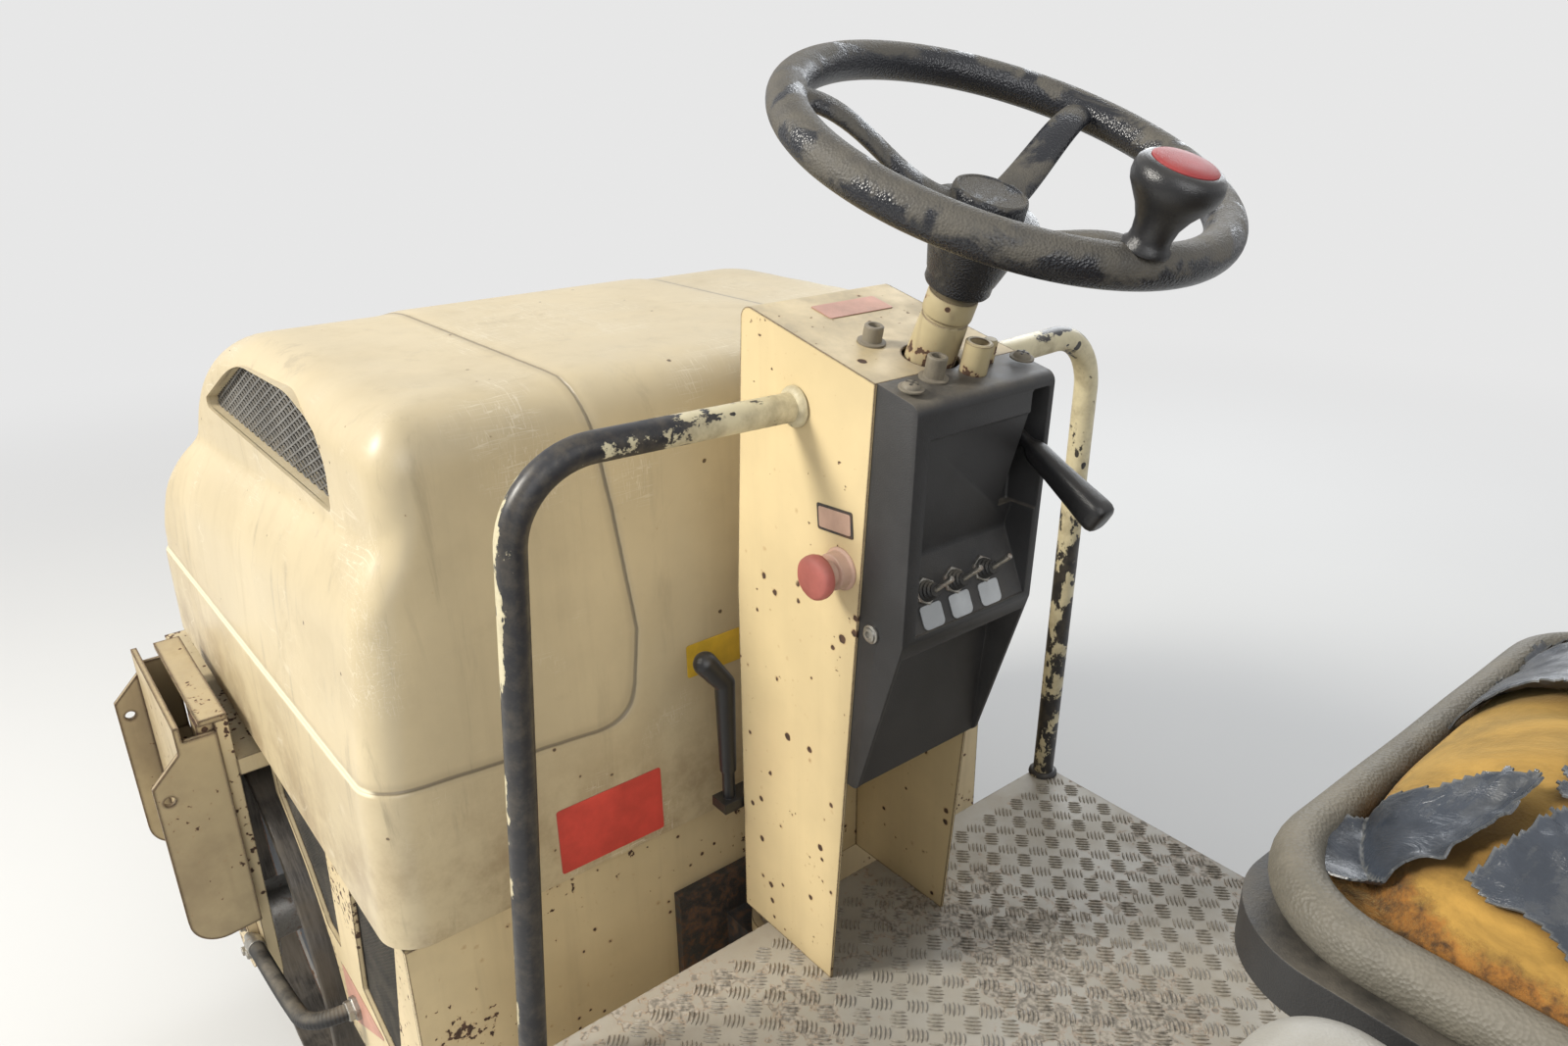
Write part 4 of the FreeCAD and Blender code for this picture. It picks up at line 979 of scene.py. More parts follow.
knob_foot = wheel_centre + around_wheel(165) * (wheel_r - rim_r) + steer * (rim_r - 0.001)
knob_rows = [(0.0160, 0.0), (0.0160, 0.0030), (0.0138, 0.0052), (0.0132, 0.0100), (0.0144, 0.0178),
             (0.0182, 0.0258), (0.0232, 0.0330), (0.0272, 0.0388), (0.0287, 0.0432), (0.0288, 0.0476),
             (0.0278, 0.0518), (0.0252, 0.0549), (0.0225, 0.0562), (0.0214, 0.0560), ]
piece("spinner_knob_body", "steering", lathe(knob_rows, knob_foot, steer, 56), knob_black,
      ["spinner_knob"], smooth=50)
insert_rows = [(0.0212, 0.0555), (0.0213, 0.0565), (0.0195, 0.0577), (0.0110, 0.0585), (0.0030, 0.0588)]
piece("knob_insert", "steering", lathe(insert_rows, knob_foot, steer, 48), dark_red, smooth=50)


# Column

column_rows = [(0.0235, -0.2620), (0.0232, -0.2500), (0.0203, -0.1448), (0.0199, -0.1415),
               (0.0188, -0.1405), (0.0188, -0.1385), (0.0207, -0.1372), (0.0211, -0.1355),
               (0.0211, -0.1212), (0.0204, -0.1188), (0.0104, -0.1182), ]
piece("column_shell", "rear_unit", lathe(column_rows, wheel_centre, steer, 48), paint_column,
      ["column_tube"], smooth=40)


# Handrails

rail_r = 0.013


def rail_shape():
    """Bent tube with a weld ring at the console and one at the platform."""
    corners = [(-0.133, 0.083, 1.211), (-0.120, 0.344, 1.214), (-0.0857, 0.3715, 0.610)]
    path = smooth_path(corners, 0.072)
    shape = tube(path, rail_r, 28)
    ring = [(0.0135, 0.0), (0.0185, 0.0004), (0.0180, 0.004), (0.0150, 0.0062), (0.0130, 0.0068)]
    return joined(shape, lathe(ring, (-0.133, 0.083, 1.211), (0.05, 1.0, 0.0), 32),
                  lathe(ring, (-0.0857, 0.3715, 0.610), (0.0, 0.0, 1.0), 32))


rail = rail_shape()
piece("handrail_tubes", "rear_unit", joined(rail, mirror_y(rail)), paint_rail,
      ["handrails"], smooth=50)


# Hood

hood_rear, hood_front, hood_low, hood_ridge, hood_top = 0.065, 1.050, 0.669, 0.853, 1.207
hood_round, corner_round = 0.056, 0.040
shoulder_low, shoulder_drop = 1.056, 0.100


def round_max(radius, *fields):
    """Largest of the fields, with the inner corner between them rounded to the radius."""
    lifted = np.stack([f + radius for f in fields])
    return np.minimum(lifted.max(axis=0), 0) + np.sqrt((np.maximum(lifted, 0) ** 2).sum(axis=0)) - radius


def hood_side(x, y, z):
    """Below zero between the hood's sides: foot, taper and falling bevel of the lower body, or the crown.

    Each plane gives y less its half width at height z; the bevel falls 100 mm from rear to front.
    """
    y = np.abs(y)
    foot = y - 0.438 + 0.003 * (z - hood_low) / (hood_ridge - hood_low)
    taper = y - 0.435 + 0.017 * (z - hood_ridge) / (shoulder_low - hood_ridge)
    fall = shoulder_drop * (x - hood_rear) / (hood_front - hood_rear)
    bevel = 0.747 * (y - 0.418) + 0.664 * (z + fall - shoulder_low)
    lower = round_max(0.030, np.maximum(foot, taper), bevel)
    crown = y - 0.386
    return -round_max(0.004, -lower, -crown)


def hood_field(p, grow):
    """Below zero inside the hood: sides, rear, top and the front's two slopes, rounded together."""
    x, y, z = p[..., 0], p[..., 1], p[..., 2]
    side = hood_side(x, y, z)
    rear = hood_rear - x
    top = z - hood_top
    slope = 0.729 * (x - 0.715) + 0.684 * (z - hood_top)
    nose = x - hood_front
    crown = round_max(0.16, top, slope)
    bow = round_max(0.10, crown, nose)
    shell = round_max(hood_round, round_max(corner_round, side, rear), bow)
    return shell - grow


def hood_rays(steps, cols, grow):
    """Points where rays from the hood's middle line meet its surface, found by halving.

    The steps are the counts of level rays below, across and above the skirt's ledge, and of rays
    that turn up from 1.10 m. Columns stand closer on the rear face, where the panel's edge runs.
    """
    first = 1.100
    z_flat = np.concatenate([np.linspace(hood_low, 0.800, steps[0], endpoint=False),
                             np.linspace(0.800, 0.872, steps[1], endpoint=False),
                             np.linspace(0.872, first, steps[2])])
    upward = np.linspace(0, 1, steps[3] + 1)[1:] ** 1.6 * math.pi / 2 * 0.997
    tilt = np.concatenate([np.zeros(len(z_flat)), upward])
    z0 = np.concatenate([z_flat, np.full(steps[3], first)])
    turn = np.linspace(0, 2 * math.pi, cols, endpoint=False)
    phi = turn + 0.55 * np.sin(turn)
    way = np.stack([
        np.cos(tilt)[:, None] * np.cos(phi), np.cos(tilt)[:, None] * np.sin(phi),
        np.sin(tilt)[:, None] * np.ones_like(phi)], axis=-1)
    start = np.zeros((len(tilt), cols, 3))
    start[..., 0] = 0.53
    start[..., 2] = z0[:, None]
    near = np.zeros((len(tilt), cols))
    far = np.full((len(tilt), cols), 1.2)
    for _ in range(36):
        half = (near + far) / 2
        inside = hood_field(start + way * half[..., None], grow) < 0
        near = np.where(inside, half, near)
        far = np.where(inside, far, half)
    return start + way * near[..., None]


def panel_half(z):
    """Half width of the raised panel: widest on top, narrowest below the middle of the rear face."""
    return np.interp(z, [0.870, 0.9385, 1.076, 1.220], [0.1486, 0.141, 0.159, 0.1835])


def soft(value):
    """Smooth step from 0 to 1 over a value's stretch from 0 to 1."""
    value = np.clip(value, 0, 1)
    return value * value * (3 - 2 * value)


def seam_side(p):
    """Signed distance to the hood's seam: above zero on the raised panel and the skirt, which join.

    The skirt's ledge sinks by 33 mm from the hood's corner to its middle line and by 48 mm for
    each metre forward, and meets the panel in an inner corner rounded by a smooth maximum.
    """
    x, y, z = p[..., 0], np.abs(p[..., 1]), p[..., 2]
    panel = np.where(x > 0.85, -1.0, panel_half(z) - y)
    skirt = 0.8195 + 0.0335 * (y / 0.434) ** 1.1 - 0.048 * (x - hood_rear) - z
    share = np.clip(0.5 + (panel - skirt) / 0.10, 0, 1)
    return skirt + (panel - skirt) * share + 0.05 * share * (1 - share)


def seam_reach(p):
    """Where the seam shows: to 0.70 m forward on the top, and all round below."""
    return np.where(p[..., 2] > 0.95, soft((0.700 - p[..., 0]) / 0.03), 1.0)


def hood_relief(p):
    """Height of the panel and the skirt over the rest: a step 8 mm wide on the rear, wider on the top."""
    wide = 0.008 + 0.022 * soft((p[..., 2] - 1.13) / 0.05)
    return 0.0034 * soft(0.5 + seam_side(p) / wide) * seam_reach(p)


def hood_shape():
    """Outer skin with its relief, inner skin 5 mm inside it, joined round the open foot."""
    cols = 560
    outer = hood_rays((6, 26, 32, 60), cols, 0.0)
    delta = 0.002
    slope = np.stack([
        hood_field(outer + np.eye(3)[k] * delta, 0.0) - hood_field(outer - np.eye(3)[k] * delta, 0.0)
        for k in range(3)], axis=-1)
    slope /= np.linalg.norm(slope, axis=-1)[..., None]
    outer = outer + slope * hood_relief(outer)[..., None]
    inner = hood_rays((2, 3, 12, 8), cols, -0.005)
    points = np.concatenate([inner[::-1], outer])
    return grid(points, wrap_cols=True, cap_first=True, cap_last=True)


grille_rows = [(0.212, 1.086, 0.010), (0.200, 1.158, 0.040), (0.318, 1.186, 0.160), (0.520, 1.178, 0.260),
               (0.742, 1.086, 0.008), ]
grille_outline = rounded_outline(grille_rows, 14)
hood = piece("hood_skin", "hood_lid", hood_shape(), hood_coat, ["hood"], smooth=32)
carve(hood, slab(grille_outline, "xz", 0.33, 0.50, 0.0), slab(grille_outline, "xz", -0.50, -0.33, 0.0))
finish(hood, 32)


def mark_seam(obj):
    """Writes each point's signed distance to the seam, and where the seam shows, for the hood's material."""
    co = np.empty(len(obj.data.vertices) * 3)
    obj.data.vertices.foreach_get("co", co)
    co = co.reshape(-1, 3)
    obj.data.attributes.new("seam_side", "FLOAT", "POINT").data.foreach_set("value", seam_side(co))
    obj.data.attributes.new("seam_reach", "FLOAT", "POINT").data.foreach_set("value", seam_reach(co))


mark_seam(hood)


def expanded_mesh(y, x0, x1, z0, z1, wide=0.024, tall=0.0105):
    """Expanded metal: wavy strands, each the mirror of the next, that meet in diamonds."""
    count = int((z1 - z0) / tall * 2)
    strands = []
    x_all = np.arange(x0, x1, wide / 4)
    for k in range(count):
        z = z0 + k * tall / 2
        share = (z - z0) / (z1 - z0)
        x = x_all[x_all < x1 - (x1 - x0) * 0.34 * share ** 1.6]
        phase = (np.arange(len(x)) + 2 * (k % 2)) % 4
        wave = np.where(phase == 0, -1.0, np.where(phase == 2, 1.0, 0.0)) * tall * 0.27
        centre = np.stack([x, np.full_like(x, y), z + wave], axis=1)
        section = np.array([(0.0, 0.0012, 0.0010), (0.0, -0.0010, 0.0012), (0.0, -0.0012, -0.0010),
                            (0.0, 0.0010, -0.0012)])
        strands.append(grid(centre[:, None] + section[None], wrap_cols=True, cap_first=True, cap_last=True))
    return joined(*strands)


def grille_lip(y_out, y_in, wall=0.0022):
    """Rim that lines the opening: the outline carried inwards, with a second wall round it."""
    centre = grille_outline.mean(axis=0)
    rings = []
    for scale, y in ((0.0, y_out), (0.0, y_in), (wall, y_in), (wall, y_out)):
        away = grille_outline - centre
        away = away / np.linalg.norm(away, axis=1)[:, None]
        ring = grille_outline + away * scale
        rings.append(np.stack([ring[:, 0], np.full(len(ring), y), ring[:, 1]], axis=1))
    return grid(np.array(rings), wrap_rows=True, wrap_cols=True)


lip = grille_lip(0.3818, 0.357)
piece("hood_grille_lips", "hood_lid", joined(lip, mirror_y(lip)), hood_coat, smooth=40)
net = expanded_mesh(0.3715, 0.196, 0.752, 1.078, 1.186)
piece("hood_expanded_mesh", "hood_lid", joined(net, mirror_y(net)), mesh_grey,
      ["hood_grilles"], smooth=30, weld=False)


# Console's rear cover, carved from its outline

def side_prism(rows, half_low, half_high, arc=8):
    """Prism across the machine from an outline in side view."""
    return slab(rounded_outline(rows, arc), "xz", half_low, half_high, 0.0)


cover = piece("console_cover_shell", "rear_unit", side_prism([
    (-0.232, 1.250, 0.0), (-0.278, 1.240, 0.010), (-0.268, 1.030, 0.008), (-0.214, 0.860, 0.008),
    (-0.2003, 0.860, 0.0)], -0.081, 0.081), black_mould, ["console_cover"], smooth=30)
carve(cover,
      side_prism([(-0.300, 1.212, 0.0), (-0.2755, 1.212, 0.006), (-0.240, 1.095, 0.010), (-0.266, 1.036, 0.0),
                  (-0.300, 1.036, 0.0)], -0.072, 0.066),
      block((-0.320, -0.075, 1.118), (-0.238, -0.053, 1.230), 0.003),
      side_prism([(-0.300, 1.016, 0.0), (-0.226, 1.016, 0.008), (-0.211, 0.855, 0.0), (-0.300, 0.855, 0.0)],
                 -0.077, 0.077),
      lathe([(0.0245, -0.40), (0.0245, 0.0)], wheel_centre, steer, 48))
finish(cover, 30, bevel=0.0022)


switch_places = (0.041, 0.006, -0.031)


def toggle_switch(y):
    """Ribbed boot that narrows to a bare metal stalk, on a six-sided nut; the blank tag below it is drawn by
    tag.
    """
    share = (1.066 - 1.036) / (1.095 - 1.036)
    x = -0.266 + 0.026 * share
    out = np.array([-0.059, 0.0, 0.026])
    out = out / np.linalg.norm(out)
    base = np.array([x, y, 1.066])
    h = np.linspace(0, 1, 25)
    r = 0.0098 - 0.0046 * h + 0.0008 * np.cos(h * 2 * math.pi * 4)
    rows = np.stack([r, h * 0.0145], axis=1)
    nut = lathe([(0.0125, -0.001), (0.0125, 0.0018), (0.0118, 0.0026)], base, out, 6)
    boot = lathe(rows, base, out, 28)
    tip = np.array([-0.72, -0.12, 0.69])
    stalk = lathe([(0.0026, 0.0), (0.0023, 0.012), (0.0028, 0.021), (0.0024, 0.0235)], base + out * 0.0125,
                  tip, 16)
    return joined(boot), joined(nut, stalk)


boots, stalks = zip(*[toggle_switch(y) for y in switch_places])
piece("toggle_boots", "rear_unit", joined(*boots), hose_black, ["toggle_switches"],
      smooth=50)
piece("toggle_stalks", "rear_unit", joined(*stalks), zinc, smooth=40)


def tag(y):
    """Thin rounded plate on the shelf, its long side down the slope."""
    down = np.array([-0.026, 0.0, -0.059])
    down = down / np.linalg.norm(down)
    out = np.array([-0.059, 0.0, 0.026])
    out = out / np.linalg.norm(out)
    top = np.array([-0.2528, y - 0.001, 1.066]) + down * 0.0115
    flat = rounded_outline([(-0.0125, 0.0, 0.003), (0.0125, 0.0, 0.003), (0.0125, 0.021, 0.005),
                            (-0.0125, 0.021, 0.005)], 6)
    rings = [top + flat[:, :1] * left + flat[:, 1:] * down + out * h for h in (0.0002, 0.0011)]
    return grid(np.array(rings), wrap_cols=True, cap_first=True, cap_last=True)


piece("toggle_tags", "rear_unit", joined(*[tag(y) for y in switch_places]), tag_grey,
      smooth=30)


def lever_shape():
    """Travel lever: thin neck, then a grip with a rounded square section that widens to a flat end."""
    root = np.array([-0.248, -0.064, 1.190])
    tip = np.array([-0.347, -0.068, 1.130])
    t = np.array([0.0, 0.16, 0.20, 0.24, 0.30, 0.5, 0.75, 0.90, 0.95, 0.985, 1.0])
    r = np.array([0.0055, 0.0055, 0.006, 0.0085, 0.0100, 0.0108, 0.0128, 0.0142, 0.0142, 0.0128, 0.0105])
    u, v, w = basis(tip - root)
    a = np.linspace(0, 2 * math.pi, 32, endpoint=False)
    square = (np.abs(np.cos(a)) ** 3.2 + np.abs(np.sin(a)) ** 3.2) ** (-1 / 3.2)
    path = root + t[:, None] * (tip - root)
    ring = square[None, :, None] * (np.cos(a)[None, :, None] * u + np.sin(a)[None, :, None] * v * 0.85)
    return grid(path[:, None] + r[:, None, None] * ring, wrap_cols=True, cap_first=True, cap_last=True)


piece("travel_lever", "rear_unit", joined(
    lever_shape(), lathe([(0.006, -0.0105), (0.006, 0.0105)], (-0.248, -0.064, 1.190), left, 20)),
    knob_black, ["drive_lever"], smooth=50)

stop_place = (-0.193, 0.083, 1.079)
stop_rows = [
    (0.0195, 0.0), (0.0195, 0.0015), (0.0170, 0.0030), (0.0165, 0.0120), (0.0155, 0.0128), (0.0120, 0.0130),
    (0.0115, 0.0215),
]
piece("stop_collar", "rear_unit", lathe(stop_rows, stop_place, left, 48), label_cream,
      smooth=40)
stop_head = [(0.0115, 0.0195), (0.0150, 0.0200), (0.0188, 0.0228), (0.0200, 0.0265), (0.0200, 0.0300),
             (0.0192, 0.0330), (0.0165, 0.0352), (0.0080, 0.0359), ]
piece("stop_head", "rear_unit", lathe(stop_head, stop_place, left, 48), faded_red,
      ["stop_button"], smooth=50)


# Drums

axle_x, drum_r = 0.720, 0.290


def about_axle(rows, x):
    """Closed section of (radius, place along the axle) rows turned round a drum's axle."""
    u, v, w = basis((0.0, 1.0, 0.0))
    a = np.linspace(0, 2 * math.pi, 160, endpoint=False)
    rows = np.array(rows)
    turn = np.cos(a)[:, None] * u + np.sin(a)[:, None] * v
    points = np.array([x, 0.0, drum_r]) + rows[:, 0, None, None] * turn + rows[:, 1, None, None] * w
    return grid(points, wrap_rows=True, wrap_cols=True, flip=True)


def drum_shape(x):
    """Rolled shell with worn round rims."""
    r, ri, half = drum_r, 0.276, 0.450
    rim = [(ri, half - 0.001), (ri + 0.001, half), (r - 0.005, half), (r - 0.0015, half - 0.0015),
           (r, half - 0.005)]
    far_rim = [(a, -b) for a, b in rim[::-1]]
    wall = [(r, 0.3), (r, 0.15), (r, 0.0), (r, -0.15), (r, -0.3)]
    return about_axle(rim + wall + far_rim + [(ri, -0.2), (ri, 0.2)], x)


def drum_end_shape(x):
    """Left end disc inside the shell, with a weld bead along its edge and the tube round the axle."""
    ri, disc, tube_r, bore = 0.276, 0.388, 0.059, 0.045
    rows = [(bore, disc + 0.020), (tube_r - 0.002, disc + 0.020), (tube_r, disc + 0.019),
            (tube_r, disc + 0.004), (tube_r + 0.004, disc), (0.16, disc), (ri - 0.010, disc),
            (ri - 0.004, disc + 0.002), (ri, disc + 0.008), (ri, disc - 0.012), (tube_r, disc - 0.012),
            (tube_r, disc - 0.090), (bore, disc - 0.090), ]
    return about_axle(rows, x)


for end, place in (("front", axle_x), ("rear", -axle_x)):
    body = end + "_roller"
    piece(end + "_drum_shell", body, drum_shape(place), drum_shell, [end + "_drum"], smooth=35)
    disc = drum_end_shape(place)
    piece(end + "_drum_discs", body, joined(disc, mirror_y(disc)), end_paint,
          [end + "_drum_ends"], smooth=35)


# Hydraulic hose: its route repeats the one in the part's source, in metres

hose_route = [(0.352, 0.427, 0.372), (0.352, 0.487, 0.372), (0.450, 0.490, 0.345), (0.550, 0.493, 0.332),
              (0.640, 0.493, 0.312)]
hose_line, hose_length = even_path(spline_path(hose_route), 0.0011)
ridges = 0.0103 + 0.0007 * np.abs(np.sin(np.arange(len(hose_line)) * math.pi * 0.0011 / 0.0044))
hose = piece("hose_armour", "front_unit", tube(hose_line, ridges, 28), hose_black,
             ["hydraulic_hose"], smooth=70)
gland_rows = [
    (0.0170, 0.0), (0.0170, 0.0060), (0.0160, 0.0072), (0.0140, 0.0076), (0.0140, 0.0140), (0.0128, 0.0150),
    (0.0112, 0.0152),
]
gland = lathe(gland_rows, hose_route[0], (0.0, 1.0, 0.0), 6)
end_way = np.array(hose_route[-1]) - np.array(hose_route[-2])
fitting_rows = [(0.0118, -0.030), (0.0124, -0.028), (0.0124, -0.004), (0.0090, -0.002), (0.0082, 0.0),
                (0.0080, 0.018)]
fitting = lathe(fitting_rows, hose_route[-1], end_way, 24)
piece("hose_ends", "front_unit", joined(gland, fitting), zinc, smooth=30)
hose_route[0]


# Fine mesh behind the side panels' vents: level and upright wires, each cut to the outline

vents = [
    [(0.185, 0.398), (0.302, 0.440), (0.262, 0.652), (0.112, 0.652)],
    [(0.378, 0.450), (0.432, 0.450), (0.484, 0.512), (0.566, 0.580), (0.566, 0.652), (0.350, 0.652)],
]


def crossing(outline, level, way):
    """Lowest and highest place where a line at a level crosses the outline; way 0 runs along x, 1 along z."""
    found = []
    for a, b in zip(outline, outline[1:] + outline[:1]):
        lo, hi = a[1 - way], b[1 - way]
        if (lo - level) * (hi - level) < 0:
            share = (level - lo) / (hi - lo)
            found.append(a[way] + share * (b[way] - a[way]))
    return (min(found), max(found)) if len(found) >= 2 else None


def strand(start, end, r=0.0006):
    """Thin square wire from one point to another."""
    return lathe([(r, 0.0), (r, float(np.linalg.norm(end - start)))], start, end - start, 4)


def vent_net(outline, pitch_x=0.0062, pitch_z=0.0050):
    """Level and upright wires of the mesh, each as long as the outline is wide there."""
    wires = []
    for way, pitch, y in ((0, pitch_z, 0.4200), (1, pitch_x, 0.4192)):
        levels = [p[1 - way] for p in outline]
        for level in np.arange(min(levels) + pitch / 2, max(levels), pitch):
            ends = crossing(outline, level, way)
            if ends is None or ends[1] - ends[0] < 0.01:
                continue
            a, b = ends[0] - 0.004, ends[1] + 0.004
            pair = ((a, y, level), (b, y, level)) if way == 0 else ((level, y, a), (level, y, b))
            wires.append(strand(*(np.array(point) for point in pair)))
    return joined(*wires)


def vent_rim(outline):
    """Flat frame behind a vent's edge, which the wires end in."""
    outer = np.array(outline)
    centre = outer.mean(axis=0)
    away = np.sign(outer - centre) * 0.006
    rings = []
    for grow, y in ((0.0, 0.4205), (0.0, 0.4190), (1.0, 0.4190), (1.0, 0.4205)):
        ring = outer + away * grow
        rings.append(np.stack([ring[:, 0], np.full(len(ring), y), ring[:, 1]], axis=1))
    return grid(np.array(rings), wrap_rows=True, wrap_cols=True, flip=True)


vent_wires = joined(*[shape for outline in vents for shape in (vent_net(outline), vent_rim(outline))])
piece("vent_meshes", "front_unit", joined(vent_wires, mirror_y(vent_wires)), mesh_black,
      ["side_vents"], smooth=30, weld=False)


# Tread plate's five-bar pattern

def bar(centre, degrees, long, wide=0.0042, tall=0.0016):
    """One raised bar: a low ridge with pointed ends, on 12 points."""
    a = math.radians(degrees)
    way = np.array([math.cos(a), math.sin(a), 0.0])
    side = np.array([-math.sin(a), math.cos(a), 0.0])
    t = np.array([-1.0, -0.6, 0.0, 0.6, 1.0])[:, None, None]
    swell = np.sqrt(np.clip(1 - t ** 2, 0.02, 1))
    s = np.array([-1.0, -0.45, 0.45, 1.0])[None, :, None]
    rise = np.array([0.0, 1.0, 1.0, 0.0])[None, :, None]
    up = np.array([0.0, 0.0, 1.0])
    flat = np.asarray(centre) + way * t * long / 2 + side * s * swell * wide / 2
    return flat + up * rise * swell * tall


def tread_pattern(x0, x1, y0, y1, z, pitch=0.0255):
    """Groups of five bars, turned a quarter from one group to the next."""
    points = []
    for i, x in enumerate(np.arange(x0 + pitch / 2, x1 - pitch / 2, pitch)):
        for j, y in enumerate(np.arange(y0 + pitch / 2, y1 - pitch / 2, pitch)):
            turn = 45 if (i + j) % 2 else -45
            a = math.radians(turn + 90)
            for k in range(-2, 3):
                centre = (x + math.cos(a) * k * 0.0046, y + math.sin(a) * k * 0.0046, z)
                points.append(bar(centre, turn, 0.019 - 0.0022 * abs(k), 0.0030))
    points = np.array(points)
    count, rows, cols = points.shape[:3]
    one = [face[::-1] for face in grid_faces(rows, cols).tolist()]
    rim = list(range(cols)) + [r * cols + cols - 1 for r in range(1, rows)]
    rim += [(rows - 1) * cols + c for c in range(cols - 2, -1, -1)] + [r
                                                                       * cols for r in range(rows - 2, 0,
                                                                                             -1)]
    foot = rows * cols
    one += [[a, b, foot] for a, b in zip(rim, rim[1:] + rim[:1])]
    points = points.reshape(count, -1, 3)
    middles = points[:, rim].mean(axis=1, keepdims=True)
    points = np.concatenate([points, middles], axis=1)
    faces = [[start + i for i in face] for start in range(0, count * (foot + 1), foot + 1) for face in one]
    return points.reshape(-1, 3), faces


piece("tread_bars", "rear_unit", tread_pattern(-0.684, -0.080, -0.380, 0.380, 0.6099), paint_tread,
      smooth=60, weld=False)


# Fittings on the console's top, whose slope is that of the pillar's profile

top_way = np.array([-0.174, 0.0, -0.040])
top_way = top_way / np.linalg.norm(top_way)
top_up = np.array([-0.040, 0.0, 0.174])
top_up = top_up / np.linalg.norm(top_up)


def on_top(x, y, lift=0.0):
    """Point on the console's sloping top."""
    return np.array([x, y, 1.290 + (x + 0.058) * 0.040 / 0.174]) + top_up * lift


def socket_screw(x, y, tall=0.016, r=0.0085):
    """Cylinder head with its hexagon socket, on a washer."""
    rows = [(0.0125, 0.0), (0.0125, 0.0018), (r, 0.0022), (r, tall - 0.001), (r - 0.001, tall),
            (0.0052, tall), (0.0048, tall - 0.006), (0.001, tall - 0.0065)]
    return lathe(rows, on_top(x, y), top_up, 30)


def cross_screw(x, y, lift=0.0):
    """Pan head with a crossed recess on a broad washer."""
    foot = on_top(x, y, lift)
    rows = [(0.0105, 0.0), (0.0105, 0.0014), (0.0078, 0.0017), (0.0074, 0.0032), (0.0060, 0.0048),
            (0.0030, 0.0056)]
    head = lathe(rows, foot, top_up, 32)
    turn = basis(top_up)
    arms = []
    for a in (0.5, 0.5 + math.pi / 2):
        way = turn[0] * math.cos(a) + turn[1] * math.sin(a)
        side = np.cross(top_up, way)
        ring = np.array([foot + way * u * 0.0052 + side * v * 0.0009 + top_up
                         * h for h in (0.0030, 0.00575) for u,
                         v in ((-1, -1), (1, -1), (1, 1), (-1, 1))]).reshape(2, 4, 3)
        arms.append(grid(ring, wrap_cols=True, cap_first=True, cap_last=True))
    return head, joined(*arms)


heads, slots = zip(*[cross_screw(-0.2555, 0.068, 0.004), cross_screw(-0.250, -0.068, 0.004)])
piece("top_screws", "rear_unit",
      joined(socket_screw(-0.170, 0.030), socket_screw(-0.243, 0.030, 0.020), *heads), dusty_steel,
      smooth=35)
piece("screw_recesses", "rear_unit", joined(*slots), hose_black, smooth=20)
post_rows = [(0.0115, 0.0), (0.0115, 0.026), (0.0105, 0.0268), (0.0075, 0.0268), (0.0070, 0.016),
             (0.001, 0.0155)]
piece("top_post", "rear_unit", joined(
    lathe(post_rows, on_top(-0.247, -0.012), top_up, 32),
    lathe([(0.0065, 0.0), (0.0065, 0.018), (0.005, 0.020)], on_top(-0.236, -0.040), top_up, 24)),
    paint_column, smooth=40)


def top_plate(x0, x1, y0, y1, tall, lift=0.0002):
    """Thin plate on the console's top."""
    flat = rounded_outline([(x0, y0, 0.002), (x1, y0, 0.002), (x1, y1, 0.002), (x0, y1, 0.002)], 4)
    rings = np.array([[on_top(u, v, lift + h) for u, v in flat] for h in (0.0, tall)])
    return grid(rings, wrap_cols=True, cap_first=True, cap_last=True)


piece("top_label", "rear_unit", top_plate(-0.118, -0.090, -0.045, 0.030, 0.0006), label_pink,
      smooth=30)


def side_plate(x, z, wide, tall, turn, thick, y=0.0832):
    """Thin plate on a left face, turned about the face's normal."""
    flat = rounded_outline([(-wide / 2, -tall / 2, 0.002), (wide / 2, -tall / 2, 0.002),
                            (wide / 2, tall / 2, 0.002), (-wide / 2, tall / 2, 0.002)], 4)
    a = math.radians(turn)
    u = x + flat[:, 0] * math.cos(a) - flat[:, 1] * math.sin(a)
    v = z + flat[:, 0] * math.sin(a) + flat[:, 1] * math.cos(a)
    rings = np.stack([np.stack([u, np.full_like(u, y + h), v], axis=1) for h in (0.0, thick)])
    return grid(rings, wrap_cols=True, cap_first=True, cap_last=True, flip=True)


piece("side_label_frame", "rear_unit", side_plate(-0.185, 1.121, 0.046, 0.024, -4, 0.0005), dark_metal,
      smooth=30)
piece("side_label_face", "rear_unit", side_plate(-0.185, 1.121, 0.041, 0.019, -4, 0.0009), label_cream,
      smooth=30)
piece("cover_side_screw", "rear_unit", lathe(
    [(0.0085, 0.0), (0.0085, 0.002), (0.0068, 0.0025), (0.0064, 0.0042), (0.0035, 0.0046), (0.003, 0.002)],
    (-0.231, 0.0812, 1.030), left, 32), zinc, smooth=35)


# Blank plates on the hood's rear face

def rear_plate(y0, y1, z0, z1, thick=0.0012, x=0.0617):
    """Thin plate on the hood's rear face."""
    flat = rounded_outline([(y0, z0, 0.003), (y1, z0, 0.003), (y1, z1, 0.003), (y0, z1, 0.003)], 4)
    return slab(flat, "yz", x - thick, x, 0.0002)


def side_stripe():
    """Thin triangle of faded red on the left side panel, below its vents."""
    flat = rounded_outline([(0.236, 0.408, 0.003), (0.396, 0.318, 0.003), (0.392, 0.414, 0.003)], 4)
    return slab(flat, "xz", 0.4271, 0.4276, 0.0001)


